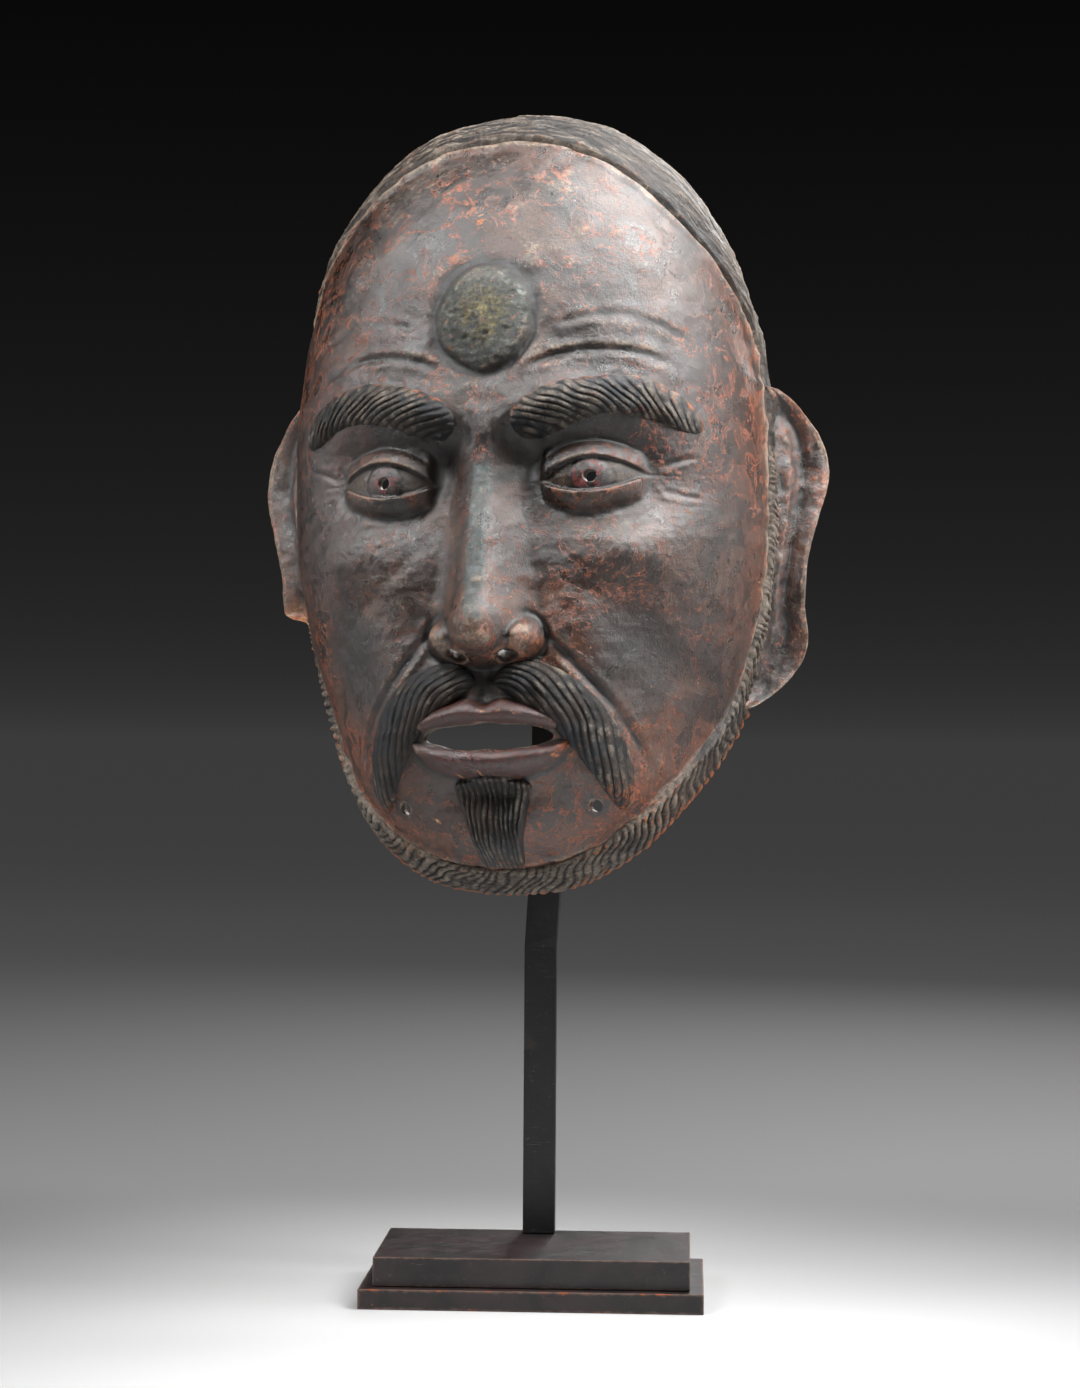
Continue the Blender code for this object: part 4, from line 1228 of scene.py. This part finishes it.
def finishStand(piece, node, name, look):
    low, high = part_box(node)
    middle = tuple((a + b) / 2.0 for a, b in zip(low, high))
    half = tuple((b - a) / 2.0 for a, b in zip(low, high))
    material, tree, shader = newMaterial(name, look["roughness"], 0.1)
    place = put(tree, "TexCoord").outputs["Object"]
    darker = blotches(tree, place, (40.0, 9.0, 0.72, 0.5), 0.40, 0.62)
    colour = mixed(tree, darker, look["base"], look["dark"])
    specks = blotches(tree, place, (420.0, 8.0, 0.8), 0.60, 0.66, 0.0, 0.5)
    colour = mixed(tree, specks, colour, steel["speck"])
    marks = useGroup(tree, scratches, {"Place": place})["Mask"]
    box = {"Place": place, "Middle": middle, "Half": half, "Width": look["edgeWidth"]}
    edges = useGroup(tree, edgeWear, box)["Mask"]
    colour = mixed(tree, times(tree, marks, 0.5), colour, look["worn"])
    colour = mixed(tree, times(tree, edges, 0.8), colour, look["worn"])
    rust = weighed(tree, (noise(tree, place, 130.0, 9.0, 0.75), 1.0), (edges, 0.12), start=look["rusty"])
    rust = between(tree, rust, 0.66, 0.70)
    tree.links.new(mixed(tree, rust, colour, steel["rust"]), shader.inputs["Base Color"])
    uneven = noise(tree, place, 90.0, 8.0, 0.7)
    start = look["roughness"] - 0.17
    rough = weighed(tree, (uneven, 0.35), (rust, 0.2), (marks, 0.2), start=start, clamp=True)
    tree.links.new(rough, shader.inputs["Roughness"])
    pits = noise(tree, place, 300.0, 9.0, 0.75)
    bump(tree, shader, weighed(tree, (pits, 0.5), (marks, -0.4), (rust, 0.5)), steel["relief"])
    if not piece.material_slots:
        piece.data.materials.append(material)
    piece.material_slots[0].link = "OBJECT"
    piece.material_slots[0].material = material


finishStand(makeBar(), "stand_bar", "blackenedBar", flatBar)
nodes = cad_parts
finishStand(nodes["stand_upper_plate"], "stand_upper_plate", "blackenedUpperPlate", upperPlate)
finishStand(nodes["stand_lower_plate"], "stand_lower_plate", "blackenedLowerPlate", lowerPlate)
print("stand finished")

# Floor and light

studio = {
    "pale": (0.50, 0.50, 0.50),
    "far": (0.11, 0.11, 0.11),
    "middle": (0.0, -0.2, 0.0),  # of the painted pool of light on the floor, in metres
    "reach": 0.52,
    "haze": (0.4, 3.0),  # where the floor's painted glow begins and where it reaches the horizon's brightness
    "horizon": 0.044,
    "sky": 0.026,
    "zenith": 0.0001,  # the share of the sky's light that is left straight up
    "hazeLeft": 1e-26,
}
lamps = {  # place, what it faces, size in metres, watts
    "leftBox": ((-0.72, -0.50, 1.30), (0.0, 0.0, 0.36), (0.35, 0.7), 19.0),
    "rightBox": ((0.86, -0.38, 1.25), (0.0, 0.0, 0.36), (0.35, 0.7), 29.0),
    "crownBox": ((0.45, 0.20, 1.25), (0.0, 0.0, 0.45), (0.5, 0.5), 13.0),
    "leftEdgeBox": ((-1.1, 0.10, 0.45), (0.0, 0.0, 0.33), (0.25, 0.8), 3.0),
    "rightEdgeBox": ((1.1, 0.05, 0.45), (0.0, 0.0, 0.33), (0.25, 0.8), 5.0),
    "backBox": ((0.35, 1.20, 0.95), (0.0, 0.0, 0.33), (0.6, 0.6), 10.0),
    "floorBox": ((0.0, -0.75, 0.95), (0.0, -0.25, 0.0), (1.2, 0.4), 2.0),
}


def makeFloor():
    built = bmesh.new()
    bmesh.ops.create_grid(built, x_segments=1, y_segments=1, size=30.0)
    floor = newPiece(built, "floor")
    material, tree, shader = newMaterial("floorWithPaintedLightPool", 0.8)
    place = put(tree, "TexCoord").outputs["Object"]
    away = put(tree, "VectorMath", {0: place, 1: studio["middle"]}, operation="DISTANCE").outputs["Value"]
    # painted pool of light: pale round the stand, fading to darker grey further off
    grey = mixed(tree, between(tree, away, 0.0, studio["reach"]), studio["pale"], studio["far"])
    tree.links.new(grey, shader.inputs["Base Color"])
    # painted glow: the far floor gives off light up to the horizon's brightness, though it is no lamp
    paintedHorizonGlow = between(tree, away, *studio["haze"], 0.0, studio["horizon"])
    tree.links.new(paintedHorizonGlow, shader.inputs["Emission Color"])
    shader.inputs["Emission Strength"].default_value = 1.0
    floor.data.materials.append(material)


def makeLamp(name, place, target, size, watts):
    lamp = bpy.data.lights.new(name, "AREA")
    lamp.shape = "RECTANGLE"
    lamp.size, lamp.size_y = size
    lamp.energy = watts
    made = bpy.data.objects.new(name, lamp)
    made.location = place
    made.rotation_euler = (Vector(target) - Vector(place)).to_track_quat("-Z", "Y").to_euler()
    bpy.context.scene.collection.objects.link(made)


def makeWorld():
    world = bpy.data.worlds.new("studio")
    world.use_nodes = True
    tree = world.node_tree
    up = put(tree, "SeparateXYZ", {0: put(tree, "TexCoord").outputs["Generated"]}).outputs["Z"]
    up = sums(tree, "MAXIMUM", up, 0.0)
    haze = sums(tree, "POWER", studio["hazeLeft"], up)
    sky = times(tree, sums(tree, "POWER", studio["zenith"], up), studio["sky"])
    sky = weighed(tree, (haze, studio["horizon"] - studio["sky"]), start=sky)
    tree.links.new(sky, tree.nodes["Background"].inputs["Color"])
    bpy.context.scene.world = world


makeFloor()
makeWorld()
for name, lamp in lamps.items():
    makeLamp(name, *lamp)
bpy.context.scene.view_settings.view_transform = "Standard"
print("floor and lights made")
